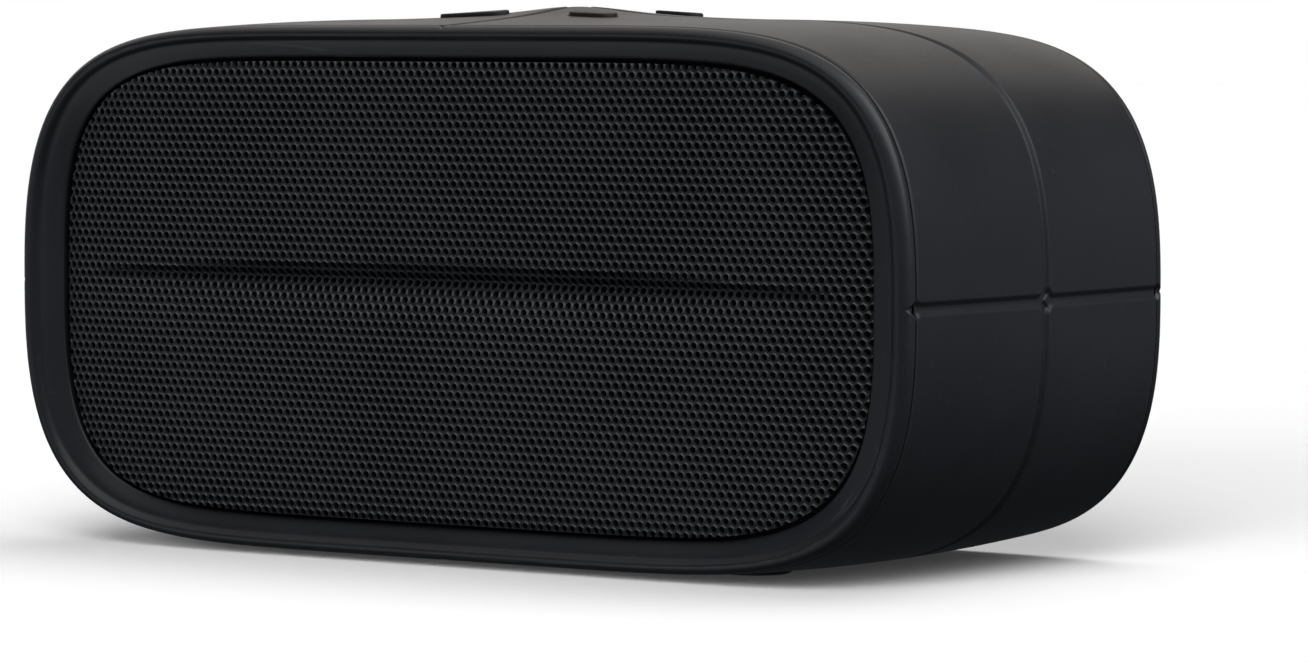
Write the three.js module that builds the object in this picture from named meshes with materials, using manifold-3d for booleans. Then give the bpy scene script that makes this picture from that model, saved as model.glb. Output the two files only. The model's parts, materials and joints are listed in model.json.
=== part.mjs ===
// A portable speaker: a rubber-sleeved body with a creased metal grille in front, two cone drivers,
// a passive radiator and a covered port bay behind, four raised keys on top and four rubber feet.
// Millimetres. +X is to the object's right seen from the front, the grille faces -Y, and +Z is up.
// The origin lies on the surface it stands on, under the middle of the body.
import * as THREE from 'three';
import { mergeVertices } from 'three/addons/utils/BufferGeometryUtils.js';
import Module from 'manifold-3d';

const wasm = await Module();
wasm.setup();

// ---------------------------------------------------------------- driving dimensions
// The body's outline seen from the front: |x / half width|^WIDTH_POWER + |z / half height|^HEIGHT_POWER = 1.
const HALF_WIDTH = 94.8;
const HALF_HEIGHT = 45.4;
const WIDTH_POWER = 6.2;
const HEIGHT_POWER = 2.7;
// The grille opening is a smaller outline of the same kind.
const OPENING_HALF_WIDTH = 86.4;
const OPENING_HALF_HEIGHT = 39.7;
const OPENING_WIDTH_POWER = 6.74;
const OPENING_HEIGHT_POWER = 3.13;
const STATIONS = 60;                 // steps around every outline, so that nested walls stay parallel
const CORNER_WEIGHT = 20;            // how much closer the steps lie where the outline turns

const FLOOR_TO_EDGE = 1.2;           // from the floor up to the outline's lowest point
const CENTRE_Z = FLOOR_TO_EDGE + HALF_HEIGHT;
const GAP = 0.3;                     // clearance between neighbouring pieces

const PARTING_Y = 37.55;             // joint between the rubber sleeve and each bezel
const CROWN = 1.05;                  // how far the sleeve swells out at its middle depth
const SLEEVE_WALL = 2.4;
const SEAM_HALF_WIDTH = 1.0;         // the groove around the middle of the depth
const SEAM_DEPTH = 0.8;
const GROOVE_HALF_WIDTH = 0.8;       // the grooves along the ends and over the top
const GROOVE_DEPTH = 0.7;
const DOME_HEIGHT = 2.2;             // the rise around the crossing of the top grooves
const DOME_SPREAD = 14;
const DOME_REACH = 36;
const DOME_FOOT_Z = 30;              // the rise fades in from this height above the middle
const DOME_FADE = 12;
const SLEEVE_EDGE_BREAK = 0.6;       // bevel where the sleeve meets a bezel

const HOUSING_OUTER = SLEEVE_WALL + GAP;
const HOUSING_WALL = 2.0;
const HOUSING_INNER = HOUSING_OUTER + HOUSING_WALL;
const HOUSING_HALF_DEPTH = 33.8;
const BOSS_RADIUS = 5.2;
const BOSS_SEGMENTS = 12;
const BOSS_DEPTH = 12;
const BOSS_CORNER_X = 66;
const BOSS_CORNER_Z = 33.5;
const BOSS_MIDDLE_Z = 36;
const BOSS_SETBACK = 0.4;            // the rear bosses end this far inside the housing's edge
const BOSS_HOLE_FLOOR = 2;           // solid plastic left under each screw hole

const BEZEL_BACK = PARTING_Y + GAP / 2;
const BEZEL_FRONT = 40.2;            // the foremost point of the bezel
const BEZEL_INNER_BACK = 36.0;
const BEZEL_TONGUE_BACK = HOUSING_HALF_DEPTH + GAP;

const GRILLE_FACE = 39.0;
const GRILLE_RIM = 36.4;
const GRILLE_THICKNESS = 0.8;
const GRILLE_ROLL = 3.6;             // radius of the rolled edge
const CREASE_Z = 1.9;                // the crease lies this far above the middle
const CREASE_DEPTH = 3.0;
const CREASE_FLANK = 3.4;            // height of the steep flank above the crease
const CREASE_FADE = 5.5;             // how fast the lower flank returns to the face
const CREASE_HALF_LENGTH = 80;
const CREASE_POWER = 2.2;

const CLOTH_Y = 34.0;
const CLOTH_THICKNESS = 0.3;
const BAFFLE_FRONT = 28.0;
const BAFFLE_THICKNESS = 2.5;

const DRIVER_X = 46;
const DRIVER_HOLE_RADIUS = 26.6;
const DRIVER_SEGMENTS = 20;
const SCREW_SEGMENTS = 10;

const PANEL_BACK = 38.2;
const PANEL_THICKNESS = 2.2;
const RADIATOR_HALF_LENGTH = 40;
const RADIATOR_HALF_HEIGHT = 23;
const BAY_X = -62;
const BAY_WIDTH = 34;
const BAY_HEIGHT = 14.4;
const BAY_DEPTH = 7.6;
const BAY_WALL = 1.2;

const KEY_X = 12.35;
const KEY_Y = 12.75;
const KEY_WIDTH = 4.2;
const KEY_LENGTH = 9.3;
const POWER_KEY_X = 13.2;
const POWER_KEY_LENGTH = 14.0;
const KEY_RISE = 0.7;                // how far a key stands above the sleeve around it
const KEY_TRAVEL = 0.5;

const FOOT_X = 48;
const FOOT_Y = 15;
const FOOT_RADIUS = 6;
const FOOT_HEIGHT = 2.6;

// ---------------------------------------------------------------- materials
const finish = (color, roughness, metalness = 0) =>
  new THREE.MeshStandardMaterial({ color, roughness, metalness });

const MATERIALS = {
  sleeve_rubber: finish(0x1d1e20, 0.62),
  key_rubber: finish(0x0f1011, 0.6),
  foot_rubber: finish(0x141414, 0.85),
  bezel_plastic: finish(0x202124, 0.45),
  grille_metal: finish(0x26272a, 0.4, 0.6),
  cloth: finish(0x060606, 0.95),
  inner_plastic: finish(0x18191b, 0.6),
  driver_steel: finish(0x8a8d92, 0.35, 0.9),
  magnet_ferrite: finish(0x2a2a2c, 0.55, 0.2),
  cone_paper: finish(0x1a1a1a, 0.9),
  surround_rubber: finish(0x101010, 0.7),
  coil_copper: finish(0xb46a3c, 0.4, 0.9),
  board_green: finish(0x1d4a30, 0.5),
  chip_black: finish(0x111214, 0.5),
  socket_metal: finish(0xb4b7bb, 0.3, 0.9),
  cell_wrap: finish(0x2f4f7a, 0.45),
  screw_steel: finish(0x4b4d50, 0.35, 0.9),
  lens_clear: finish(0xd8dde0, 0.15),
};

// ---------------------------------------------------------------- solids and booleans
const onlyPositions = (geometry) => {
  const bare = geometry.clone();
  bare.deleteAttribute('normal');
  bare.deleteAttribute('uv');
  return mergeVertices(bare, 1e-5);
};

// Turns a closed geometry's faces outward.
function outward(geometry) {
  const bare = onlyPositions(geometry);
  const at = bare.attributes.position;
  const index = bare.index.array;
  const [a, b, c] = [new THREE.Vector3(), new THREE.Vector3(), new THREE.Vector3()];
  let volume = 0;
  for (let i = 0; i < index.length; i += 3) {
    a.fromBufferAttribute(at, index[i]);
    b.fromBufferAttribute(at, index[i + 1]);
    c.fromBufferAttribute(at, index[i + 2]);
    volume += a.dot(b.cross(c));
  }
  if (volume < 0) {
    for (let i = 0; i < index.length; i += 3) {
      [index[i], index[i + 1]] = [index[i + 1], index[i]];
    }
  }
  return bare;
}

function solidOf(geometry) {
  const bare = outward(geometry);
  return new wasm.Manifold(new wasm.Mesh({
    numProp: 3,
    vertProperties: new Float32Array(bare.attributes.position.array),
    triVerts: new Uint32Array(bare.index.array),
  }));
}

function geometryOf(solid) {
  const mesh = solid.getMesh();
  const geometry = new THREE.BufferGeometry();
  geometry.setAttribute('position', new THREE.BufferAttribute(mesh.vertProperties, 3));
  geometry.setIndex(new THREE.BufferAttribute(mesh.triVerts, 1));
  return geometry;
}

function cut(geometry, cutters) {
  let solid = solidOf(geometry);
  for (const cutter of cutters) solid = solid.subtract(solidOf(cutter));
  return geometryOf(solid);
}

function join(geometries) {
  let solid = solidOf(geometries[0]);
  for (const geometry of geometries.slice(1)) solid = solid.add(solidOf(geometry));
  return geometryOf(solid);
}

// ---------------------------------------------------------------- outlines
// A point of a rounded-rectangle outline for a parameter from 0 (right) through a quarter turn (top).
function outlinePoint(angle, halfWidth, halfHeight, widthPower, heightPower) {
  const [c, s] = [Math.cos(angle), Math.sin(angle)];
  return [
    Math.sign(c) * halfWidth * Math.abs(c) ** (2 / widthPower),
    Math.sign(s) * halfHeight * Math.abs(s) ** (2 / heightPower),
  ];
}

// Parameters of one quarter of the body's outline, closer together where it turns.
function quarterAngles(count) {
  const fine = 2000;
  const points = [];
  for (let i = 0; i <= fine; i++) {
    const angle = (i / fine) ** 1.5 * (Math.PI / 2);
    points.push([angle, ...outlinePoint(angle, HALF_WIDTH, HALF_HEIGHT, WIDTH_POWER, HEIGHT_POWER)]);
  }
  const weights = [0];
  let heading = Math.PI / 2;
  for (let i = 1; i <= fine; i++) {
    const [dx, dz] = [points[i][1] - points[i - 1][1], points[i][2] - points[i - 1][2]];
    const turned = Math.atan2(dz, dx);
    weights.push(weights[i - 1] + Math.hypot(dx, dz) + CORNER_WEIGHT * Math.abs(turned - heading));
    heading = turned;
  }
  const angles = [];
  for (let step = 0; step < count; step++) {
    const wanted = (weights[fine] * step) / count;
    const i = weights.findIndex((weight) => weight >= wanted);
    angles.push(points[i][0]);
  }
  return angles;
}

const QUARTER = quarterAngles(STATIONS / 4);
const ANGLES = [
  ...QUARTER,
  Math.PI / 2,
  ...QUARTER.slice(1).reverse().map((angle) => Math.PI - angle),
  ...QUARTER.map((angle) => Math.PI + angle),
  Math.PI * 1.5,
  ...QUARTER.slice(1).reverse().map((angle) => 2 * Math.PI - angle),
];

const bodyPoint = (angle, inset) => outlinePoint(
  angle, HALF_WIDTH - inset, HALF_HEIGHT - inset, WIDTH_POWER, HEIGHT_POWER,
);

const openingPoint = (angle, inset) => outlinePoint(
  angle, OPENING_HALF_WIDTH - inset, OPENING_HALF_HEIGHT - inset, OPENING_WIDTH_POWER, OPENING_HEIGHT_POWER,
);

const crownAt = (y) => CROWN * (1 - (y / PARTING_Y) ** 2);

// The rise around the crossing of the top grooves.
function domeAt(x, y) {
  const radius = Math.min(Math.hypot(x, y), DOME_REACH);
  const bell = (r) => 1 / (1 + (r / DOME_SPREAD) ** 2);
  return DOME_HEIGHT * (bell(radius) - bell(DOME_REACH)) / (1 - bell(DOME_REACH));
}

// Height of the sleeve's top surface.
function topAt(x, y) {
  const flat = (1 - (Math.abs(x) / HALF_WIDTH) ** WIDTH_POWER) ** (1 / HEIGHT_POWER);
  return CENTRE_Z + HALF_HEIGHT * flat + crownAt(y) + domeAt(x, y);
}

// Closes a grid of points into one ring-shaped body: rows[i][j] runs round the section at station i.
function ringBody(rows) {
  const [around, section] = [rows.length, rows[0].length];
  const geometry = new THREE.BufferGeometry();
  geometry.setAttribute('position', new THREE.Float32BufferAttribute(rows.flat(2), 3));
  const index = [];
  for (let i = 0; i < around; i++) {
    for (let j = 0; j < section; j++) {
      const [a, b] = [i * section + j, ((i + 1) % around) * section + j];
      const [c, d] = [i * section + ((j + 1) % section), ((i + 1) % around) * section + ((j + 1) % section)];
      index.push(a, b, d, a, d, c);
    }
  }
  geometry.setIndex(index);
  return geometry;
}

const ringFrom = (section) => ringBody(ANGLES.map((angle) => section(angle)));

// A flat plate with the outline made by pointAt, lying between two depths, with holes through it.
function plate(pointAt, yLow, yHigh, holes = []) {
  const shape = new THREE.Shape(ANGLES.map((angle) => new THREE.Vector2(...pointAt(angle))));
  shape.holes.push(...holes);
  return standing(new THREE.ExtrudeGeometry(shape, { depth: yHigh - yLow, bevelEnabled: false }), yHigh);
}

// A flat sheet without holes: fans of triangles from its middle, joined by a rim.
function sheet(pointAt, yLow, yHigh) {
  const count = ANGLES.length;
  const ring = (y) => ANGLES.map((angle) => {
    const [x, z] = pointAt(angle);
    return [x, y, CENTRE_Z + z];
  });
  const points = [...ring(yLow), ...ring(yHigh), [0, yLow, CENTRE_Z], [0, yHigh, CENTRE_Z]];
  const geometry = new THREE.BufferGeometry();
  geometry.setAttribute('position', new THREE.Float32BufferAttribute(points.flat(), 3));
  const index = [];
  for (let i = 0; i < count; i++) {
    const next = (i + 1) % count;
    index.push(2 * count, i, next, 2 * count + 1, count + next, count + i);
    index.push(i, count + i, count + next, i, count + next, next);
  }
  geometry.setIndex(index);
  return geometry;
}

// Stands a shape drawn in X and Y up into X and Z, extruded towards -Y from the depth given.
function standing(geometry, yHigh) {
  geometry.rotateX(Math.PI / 2);
  geometry.translate(0, yHigh, CENTRE_Z);
  return geometry;
}

const circle = (x, z, radius, segments) => {
  const points = [];
  for (let i = 0; i < segments; i++) {
    const angle = (2 * Math.PI * i) / segments;
    points.push(new THREE.Vector2(x + radius * Math.cos(angle), z + radius * Math.sin(angle)));
  }
  return new THREE.Path(points);
};

// A bar outline with round ends, its long side along the first axis.
function pill(x, z, length, width, segments = 6) {
  const points = [];
  const reach = (length - width) / 2;
  for (const side of [1, -1]) {
    for (let i = 0; i <= segments; i++) {
      const angle = Math.PI * (i / segments - 0.5);
      points.push(new THREE.Vector2(
        x + side * (reach + (width / 2) * Math.cos(angle)),
        z + side * (width / 2) * Math.sin(angle),
      ));
    }
  }
  return points;
}

const box = (x0, x1, y0, y1, z0, z1) => {
  const geometry = new THREE.BoxGeometry(x1 - x0, y1 - y0, z1 - z0);
  geometry.translate((x0 + x1) / 2, (y0 + y1) / 2, (z0 + z1) / 2);
  return geometry;
};

// A round bar along Y between two depths.
function barY(x, z, radius, y0, y1, segments = 16) {
  const geometry = new THREE.CylinderGeometry(radius, radius, y1 - y0, segments);
  geometry.translate(x, (y0 + y1) / 2, z);
  return geometry;
}

// A round bar along Z between two heights.
function barZ(x, y, radius, z0, z1, segments = 16) {
  const geometry = new THREE.CylinderGeometry(radius, radius, z1 - z0, segments);
  geometry.rotateX(Math.PI / 2);
  geometry.translate(x, y, (z0 + z1) / 2);
  return geometry;
}

// A body of revolution about Y, from a list of [radius, y] that closes on itself or ends on the axis.
function turned(x, profile, segments = DRIVER_SEGMENTS) {
  const onAxis = profile[0][0] === 0;
  const loop = onAxis ? profile : [...profile, profile[0]];
  const geometry = new THREE.LatheGeometry(loop.map((point) => new THREE.Vector2(...point)), segments);
  geometry.translate(x, 0, CENTRE_Z);
  return geometry;
}

// ---------------------------------------------------------------- casing
const root = new THREE.Group();

function place(name, material, geometry) {
  const mesh = new THREE.Mesh(outward(geometry), MATERIALS[material]);
  mesh.name = name;
  root.add(mesh);
}

const KEYS = [
  { name: 'power_key', x: -POWER_KEY_X, y: -KEY_Y, length: POWER_KEY_LENGTH },
  { name: 'play_key', x: KEY_X, y: -KEY_Y, length: KEY_LENGTH },
  { name: 'volume_down_key', x: -KEY_X, y: KEY_Y, length: KEY_LENGTH },
  { name: 'volume_up_key', x: KEY_X, y: KEY_Y, length: KEY_LENGTH },
];

const FEET = [
  { name: 'foot_front_left', x: -FOOT_X, y: -FOOT_Y },
  { name: 'foot_front_right', x: FOOT_X, y: -FOOT_Y },
  { name: 'foot_rear_left', x: -FOOT_X, y: FOOT_Y },
  { name: 'foot_rear_right', x: FOOT_X, y: FOOT_Y },
];

const PLUNGER_RADIUS = 1.6;
const PLUNGER_HOLE = PLUNGER_RADIUS + 0.5;

// A bar that stands on the pill outline of a key, from one height to another.
function keyPrism(key, grow, z0, z1) {
  const shape = new THREE.Shape(pill(key.x, key.y, key.length + 2 * grow, KEY_WIDTH + 2 * grow));
  const geometry = new THREE.ExtrudeGeometry(shape, { depth: z1 - z0, bevelEnabled: false });
  geometry.translate(0, 0, z0);
  return geometry;
}

// The slot that the end grooves leave, one bar along each end at the middle height.
function endGrooveCutter(side) {
  const steps = 8;
  const outer = HALF_WIDTH + CROWN + 2;
  const shape = new THREE.Shape();
  shape.moveTo(outer, -PARTING_Y - 1);
  for (let i = 0; i <= steps; i++) {
    const y = (PARTING_Y + 1) * (2 * i / steps - 1);
    shape.lineTo(HALF_WIDTH + Math.max(crownAt(y), 0) - GROOVE_DEPTH, y);
  }
  shape.lineTo(outer, PARTING_Y + 1);
  const geometry = new THREE.ExtrudeGeometry(shape, { depth: 2 * GROOVE_HALF_WIDTH, bevelEnabled: false });
  geometry.translate(0, 0, CENTRE_Z - GROOVE_HALF_WIDTH);
  if (side < 0) geometry.rotateZ(Math.PI);
  return geometry;
}

// The groove over the top, from the front bezel to the rear one.
function topGrooveCutter() {
  const steps = 16;
  const top = CENTRE_Z + HALF_HEIGHT + CROWN + DOME_HEIGHT + 2;
  const shape = new THREE.Shape();
  shape.moveTo(-PARTING_Y - 1, top);
  for (let i = 0; i <= steps; i++) {
    const y = (PARTING_Y + 1) * (2 * i / steps - 1);
    shape.lineTo(y, topAt(0, Math.max(-PARTING_Y, Math.min(PARTING_Y, y))) - GROOVE_DEPTH);
  }
  shape.lineTo(PARTING_Y + 1, top);
  const geometry = new THREE.ExtrudeGeometry(shape, { depth: 2 * GROOVE_HALF_WIDTH, bevelEnabled: false });
  geometry.rotateX(Math.PI / 2);
  geometry.rotateZ(Math.PI / 2);
  geometry.translate(-GROOVE_HALF_WIDTH, 0, 0);
  return geometry;
}

function sleeve() {
  const end = PARTING_Y - GAP / 2;
  const seam = SEAM_HALF_WIDTH;
  const half = [seam, 0.16 * end, 0.36 * end, 0.65 * end, end - SLEEVE_EDGE_BREAK];
  const depths = [...half.map((y) => -y).reverse(), ...half];
  const section = (angle) => {
    const row = [];
    const push = (inset, y) => {
      const [x, z] = bodyPoint(angle, inset - crownAt(y));
      const rise = domeAt(x, y) * Math.min(1, Math.max(0, (z - DOME_FOOT_Z) / DOME_FADE));
      row.push([x, y, CENTRE_Z + z + rise]);
    };
    push(SLEEVE_EDGE_BREAK, -end);
    for (const y of depths) {
      push(0, y);
      if (y === -seam) {
        push(SEAM_DEPTH, -seam / 2);
        push(SEAM_DEPTH, seam / 2);
      }
    }
    push(SLEEVE_EDGE_BREAK, end);
    for (const y of [end, -end]) {
      const [x, z] = bodyPoint(angle, SLEEVE_WALL);
      row.push([x, y, CENTRE_Z + z]);
    }
    return row;
  };
  const cutters = [endGrooveCutter(1), endGrooveCutter(-1), topGrooveCutter()];
  const above = CENTRE_Z + HALF_HEIGHT + 10;
  for (const key of KEYS) cutters.push(keyPrism(key, GAP, CENTRE_Z + HALF_HEIGHT - 5, above));
  for (const foot of FEET) {
    cutters.push(barZ(foot.x, foot.y, FOOT_RADIUS + GAP, -1, FOOT_HEIGHT + GAP, 20));
  }
  return cut(ringFrom(section), cutters);
}

// The bezel's section as [share of the way in to the opening, depth], the same front and rear.
const BEZEL_SECTION = [
  [0.0, BEZEL_BACK + 0.3],
  [0.05, BEZEL_FRONT - 0.6],
  [0.16, BEZEL_FRONT],
  [0.42, BEZEL_FRONT - 0.85],
  [0.56, BEZEL_FRONT - 1.15],
  [1.0, BEZEL_FRONT - 2.6],
  [1.0, BEZEL_INNER_BACK],
];

function bezel(side) {
  return ringFrom((angle) => {
    const [outerX, outerZ] = bodyPoint(angle, 0);
    const [innerX, innerZ] = openingPoint(angle, 0);
    const row = BEZEL_SECTION.map(([share, depth]) => [
      outerX + (innerX - outerX) * share,
      side * depth,
      CENTRE_Z + outerZ + (innerZ - outerZ) * share,
    ]);
    const back = [[HOUSING_INNER, BEZEL_INNER_BACK], [HOUSING_INNER, BEZEL_TONGUE_BACK],
      [HOUSING_OUTER, BEZEL_TONGUE_BACK], [HOUSING_OUTER, BEZEL_BACK]];
    for (const [inset, depth] of back) {
      const [x, z] = bodyPoint(angle, inset);
      row.push([x, side * depth, CENTRE_Z + z]);
    }
    return row;
  });
}

// ---------------------------------------------------------------- grille
const creaseShare = (x) => Math.max(0, 1 - (Math.abs(x) / CREASE_HALF_LENGTH) ** CREASE_POWER);

// How far the crease sets the grille back at a point given from the middle of the opening.
function creaseAt(x, z) {
  const share = creaseShare(x);
  const above = z - CREASE_Z;
  if (share === 0) return 0;
  if (above < 0) return share * CREASE_DEPTH * Math.exp(above / CREASE_FADE);
  return share * CREASE_DEPTH * Math.max(0, 1 - above / (share * CREASE_FLANK));
}

// How far the rolled edge sets the grille back, from the distance to its outline.
function rollAt(distance) {
  const inside = Math.min(Math.max(distance, 0), GRILLE_ROLL);
  const drop = GRILLE_ROLL - Math.sqrt(GRILLE_ROLL ** 2 - (GRILLE_ROLL - inside) ** 2);
  return drop * ((GRILLE_FACE - GRILLE_RIM) / GRILLE_ROLL);
}

// The grille as a grid of columns and rows that ends on the opening's own outline.
function grille() {
  const columns = STATIONS / 3;
  const rows = STATIONS / 6;
  const halfRows = rows / 2;
  const halfColumns = columns / 2;
  const border = ANGLES.map((angle) => openingPoint(angle, GAP));
  const at = (k) => border[(k + STATIONS) % STATIONS];
  const right = (j) => at(j - halfRows);
  const left = (j) => at(STATIONS / 2 + halfRows - j);
  const top = (i) => at(halfRows + columns - i);
  const bottom = (i) => at(STATIONS * 3 / 4 - halfColumns + i);
  const layer = (offset) => {
    const points = [];
    for (let i = 0; i <= columns; i++) {
      const column = [];
      for (let j = 0; j <= rows; j++) {
        const edge = i === 0 || j === 0 || i === columns || j === rows;
        const onEdge = i === 0 ? left(j) : i === columns ? right(j) : j === 0 ? bottom(i) : top(i);
        const [x, z] = edge ? onEdge : gridPoint(i, j);
        const depth = edge ? GRILLE_RIM : GRILLE_FACE - rollAt(edgeDistance(x, z)) - creaseAt(x, z);
        column.push([x, -(depth - offset), CENTRE_Z + z]);
      }
      points.push(column);
    }
    return points;
  };
  const steps = [-1, -0.93, -0.6, -0.28, -0.09];
  const leastFlank = 0.6;
  function gridPoint(i, j) {
    const x = top(i)[0] + (bottom(i)[0] - top(i)[0]) * (1 - j / rows);
    const share = creaseShare(x);
    const high = top(i)[1];
    const flank = CREASE_Z + Math.max(CREASE_FLANK * share, leastFlank);
    const upper = [flank, flank + 0.4 * (high - flank), high - 2.8, high - 1, high];
    const lower = steps.map((step) => CREASE_Z - step * (bottom(i)[1] - CREASE_Z));
    const z = j < halfRows ? lower[j] : j === halfRows ? CREASE_Z : upper[j - halfRows - 1];
    return [x, z];
  }
  const front = layer(0);
  const back = layer(GRILLE_THICKNESS);
  return sheetBody(front, back);
}

// Distance from a point to the grille's outline, measured along the nearer axis.
function edgeDistance(x, z) {
  const [width, height] = [OPENING_HALF_WIDTH - GAP, OPENING_HALF_HEIGHT - GAP];
  const reachX = width * Math.max(0, 1 - (Math.abs(z) / height) ** OPENING_HEIGHT_POWER)
    ** (1 / OPENING_WIDTH_POWER);
  const reachZ = height * Math.max(0, 1 - (Math.abs(x) / width) ** OPENING_WIDTH_POWER)
    ** (1 / OPENING_HEIGHT_POWER);
  const [dx, dz] = [Math.max(0, reachX - Math.abs(x)), Math.max(0, reachZ - Math.abs(z))];
  return (dx * dz) / Math.max(Math.hypot(dx, dz), 1e-9);
}

// Joins a front and a back grid of points into one thin closed body.
function sheetBody(front, back) {
  const [columns, rows] = [front.length - 1, front[0].length - 1];
  const count = (columns + 1) * (rows + 1);
  const geometry = new THREE.BufferGeometry();
  geometry.setAttribute('position', new THREE.Float32BufferAttribute([front, back].flat(3), 3));
  const at = (i, j, side) => side * count + i * (rows + 1) + j;
  const index = [];
  const quad = (a, b, c, d) => index.push(a, b, c, a, c, d);
  for (let i = 0; i < columns; i++) {
    for (let j = 0; j < rows; j++) {
      quad(at(i, j, 0), at(i + 1, j, 0), at(i + 1, j + 1, 0), at(i, j + 1, 0));
      quad(at(i, j, 1), at(i, j + 1, 1), at(i + 1, j + 1, 1), at(i + 1, j, 1));
    }
  }
  for (let i = 0; i < columns; i++) {
    quad(at(i + 1, 0, 0), at(i, 0, 0), at(i, 0, 1), at(i + 1, 0, 1));
    quad(at(i, rows, 0), at(i + 1, rows, 0), at(i + 1, rows, 1), at(i, rows, 1));
  }
  for (let j = 0; j < rows; j++) {
    quad(at(0, j, 0), at(0, j + 1, 0), at(0, j + 1, 1), at(0, j, 1));
    quad(at(columns, j + 1, 0), at(columns, j, 0), at(columns, j, 1), at(columns, j + 1, 1));
  }
  geometry.setIndex(index);
  return geometry;
}

// ---------------------------------------------------------------- inner frame
const CORNERS = [[1, 1], [-1, 1], [-1, -1], [1, -1]];
const FRONT_BOSSES = CORNERS.map(([x, z]) => [x * BOSS_CORNER_X, CENTRE_Z + z * BOSS_CORNER_Z]);
const REAR_BOSSES = [...FRONT_BOSSES, [0, CENTRE_Z + BOSS_MIDDLE_Z], [0, CENTRE_Z - BOSS_MIDDLE_Z]];
const SCREW_RADIUS = 1.3;
const SCREW_LENGTH = 9;
const HEAD_RADIUS = 2.4;
const HEAD_HEIGHT = 1.5;
const BAFFLE_BACK = BAFFLE_FRONT - BAFFLE_THICKNESS;

function housing() {
  const shell = ringFrom((angle) => [
    [HOUSING_OUTER, -HOUSING_HALF_DEPTH], [HOUSING_OUTER, HOUSING_HALF_DEPTH],
    [HOUSING_INNER, HOUSING_HALF_DEPTH], [HOUSING_INNER, -HOUSING_HALF_DEPTH],
  ].map(([inset, y]) => {
    const [x, z] = bodyPoint(angle, inset);
    return [x, y, CENTRE_Z + z];
  }));
  const front = -(BAFFLE_BACK - GAP);
  const rear = HOUSING_HALF_DEPTH;
  const [frontFloor, rearFloor] = [front + BOSS_DEPTH - BOSS_HOLE_FLOOR, rear - BOSS_DEPTH + BOSS_HOLE_FLOOR];
  const hole = SCREW_RADIUS + GAP;
  const roof = CENTRE_Z + HALF_HEIGHT - HOUSING_OUTER;
  const bosses = [
    ...FRONT_BOSSES.map(([x, z]) => barY(x, z, BOSS_RADIUS, front, front + BOSS_DEPTH, BOSS_SEGMENTS)),
    ...REAR_BOSSES.map(([x, z]) => barY(
      x, z, BOSS_RADIUS, rear - BOSS_DEPTH, rear - BOSS_SETBACK, BOSS_SEGMENTS,
    )),
  ];
  const holes = [
    ...FRONT_BOSSES.map(([x, z]) => barY(x, z, hole, front - 1, frontFloor, SCREW_SEGMENTS)),
    ...REAR_BOSSES.map(([x, z]) => barY(x, z, hole, rearFloor, rear + 1, SCREW_SEGMENTS)),
    ...KEYS.map((key) => barZ(key.x, key.y, PLUNGER_HOLE, roof - 2 * HOUSING_WALL, roof + 1, 12)),
  ];
  return cut(join([shell, ...bosses]), holes);
}

function baffle() {
  const holes = [-1, 1].map((side) => circle(side * DRIVER_X, 0, DRIVER_HOLE_RADIUS, 32));
  for (const [x, z] of FRONT_BOSSES) holes.push(circle(x, z - CENTRE_Z, SCREW_RADIUS + GAP, SCREW_SEGMENTS));
  return plate((angle) => bodyPoint(angle, HOUSING_INNER + GAP), -BAFFLE_FRONT, -BAFFLE_BACK, holes);
}

// A screw along Y: the head's outer face is at headY and the shank runs the way given.
function screw([x, z], headY, way) {
  const seat = headY + way * HEAD_HEIGHT;
  const tip = seat + way * SCREW_LENGTH;
  const head = barY(x, z, HEAD_RADIUS, Math.min(headY, seat), Math.max(headY, seat), SCREW_SEGMENTS);
  const shank = barY(x, z, SCREW_RADIUS, Math.min(seat - way, tip), Math.max(seat - way, tip), SCREW_SEGMENTS);
  const slotHalf = 0.35;
  const slotReach = 1.5;
  const slotDepth = 0.7;
  const slotFloor = headY + way * slotDepth;
  const y = [Math.min(headY - way, slotFloor), Math.max(headY - way, slotFloor)];
  return cut(join([head, shank]), [
    box(x - slotReach, x + slotReach, ...y, z - slotHalf, z + slotHalf),
    box(x - slotHalf, x + slotHalf, ...y, z - slotReach, z + slotReach),
  ]);
}

// ---------------------------------------------------------------- drivers
const FLANGE_FRONT = -29.4;
const FLANGE_BACK = -(BAFFLE_FRONT + GAP);
const DRIVER_BACK = -11.3;
const CONE_RADIUS = 19.5;
const CONE_FRONT = -30.2;
const NECK_RADIUS = 9.2;
const NECK_Y = -19.4;
const SURROUND_GAP = 0.4;
const FLANGE_RADIUS = 28.5;
const FLANGE_INNER_RADIUS = 23.9;
const BASKET_WALL = 1.2;
const MAGNET_RADIUS = 16;
const MAGNET_FRONT = DRIVER_BACK + GAP;
const MAGNET_BACK = 0.5;
const POLE_RADIUS = 7.8;
const COIL_GAP_RADIUS = 9.5;
const COIL_GAP_FLOOR = -5.5;
const COIL_INNER_RADIUS = 8.4;
const COIL_OUTER_RADIUS = 8.9;
const COIL_FRONT = -20.4;
const COIL_BACK = -8.6;
const CONE_WALL = 0.7;

const driverFrame = (x) => turned(x, [
  [FLANGE_INNER_RADIUS, FLANGE_FRONT], [FLANGE_RADIUS, FLANGE_FRONT], [FLANGE_RADIUS, FLANGE_BACK],
  [26.2, FLANGE_BACK], [18.5, DRIVER_BACK], [11.2, DRIVER_BACK], [11.2, DRIVER_BACK - BASKET_WALL],
  [17.6, DRIVER_BACK - BASKET_WALL], [24.9, FLANGE_BACK], [FLANGE_INNER_RADIUS, FLANGE_BACK - GAP],
]);

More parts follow.
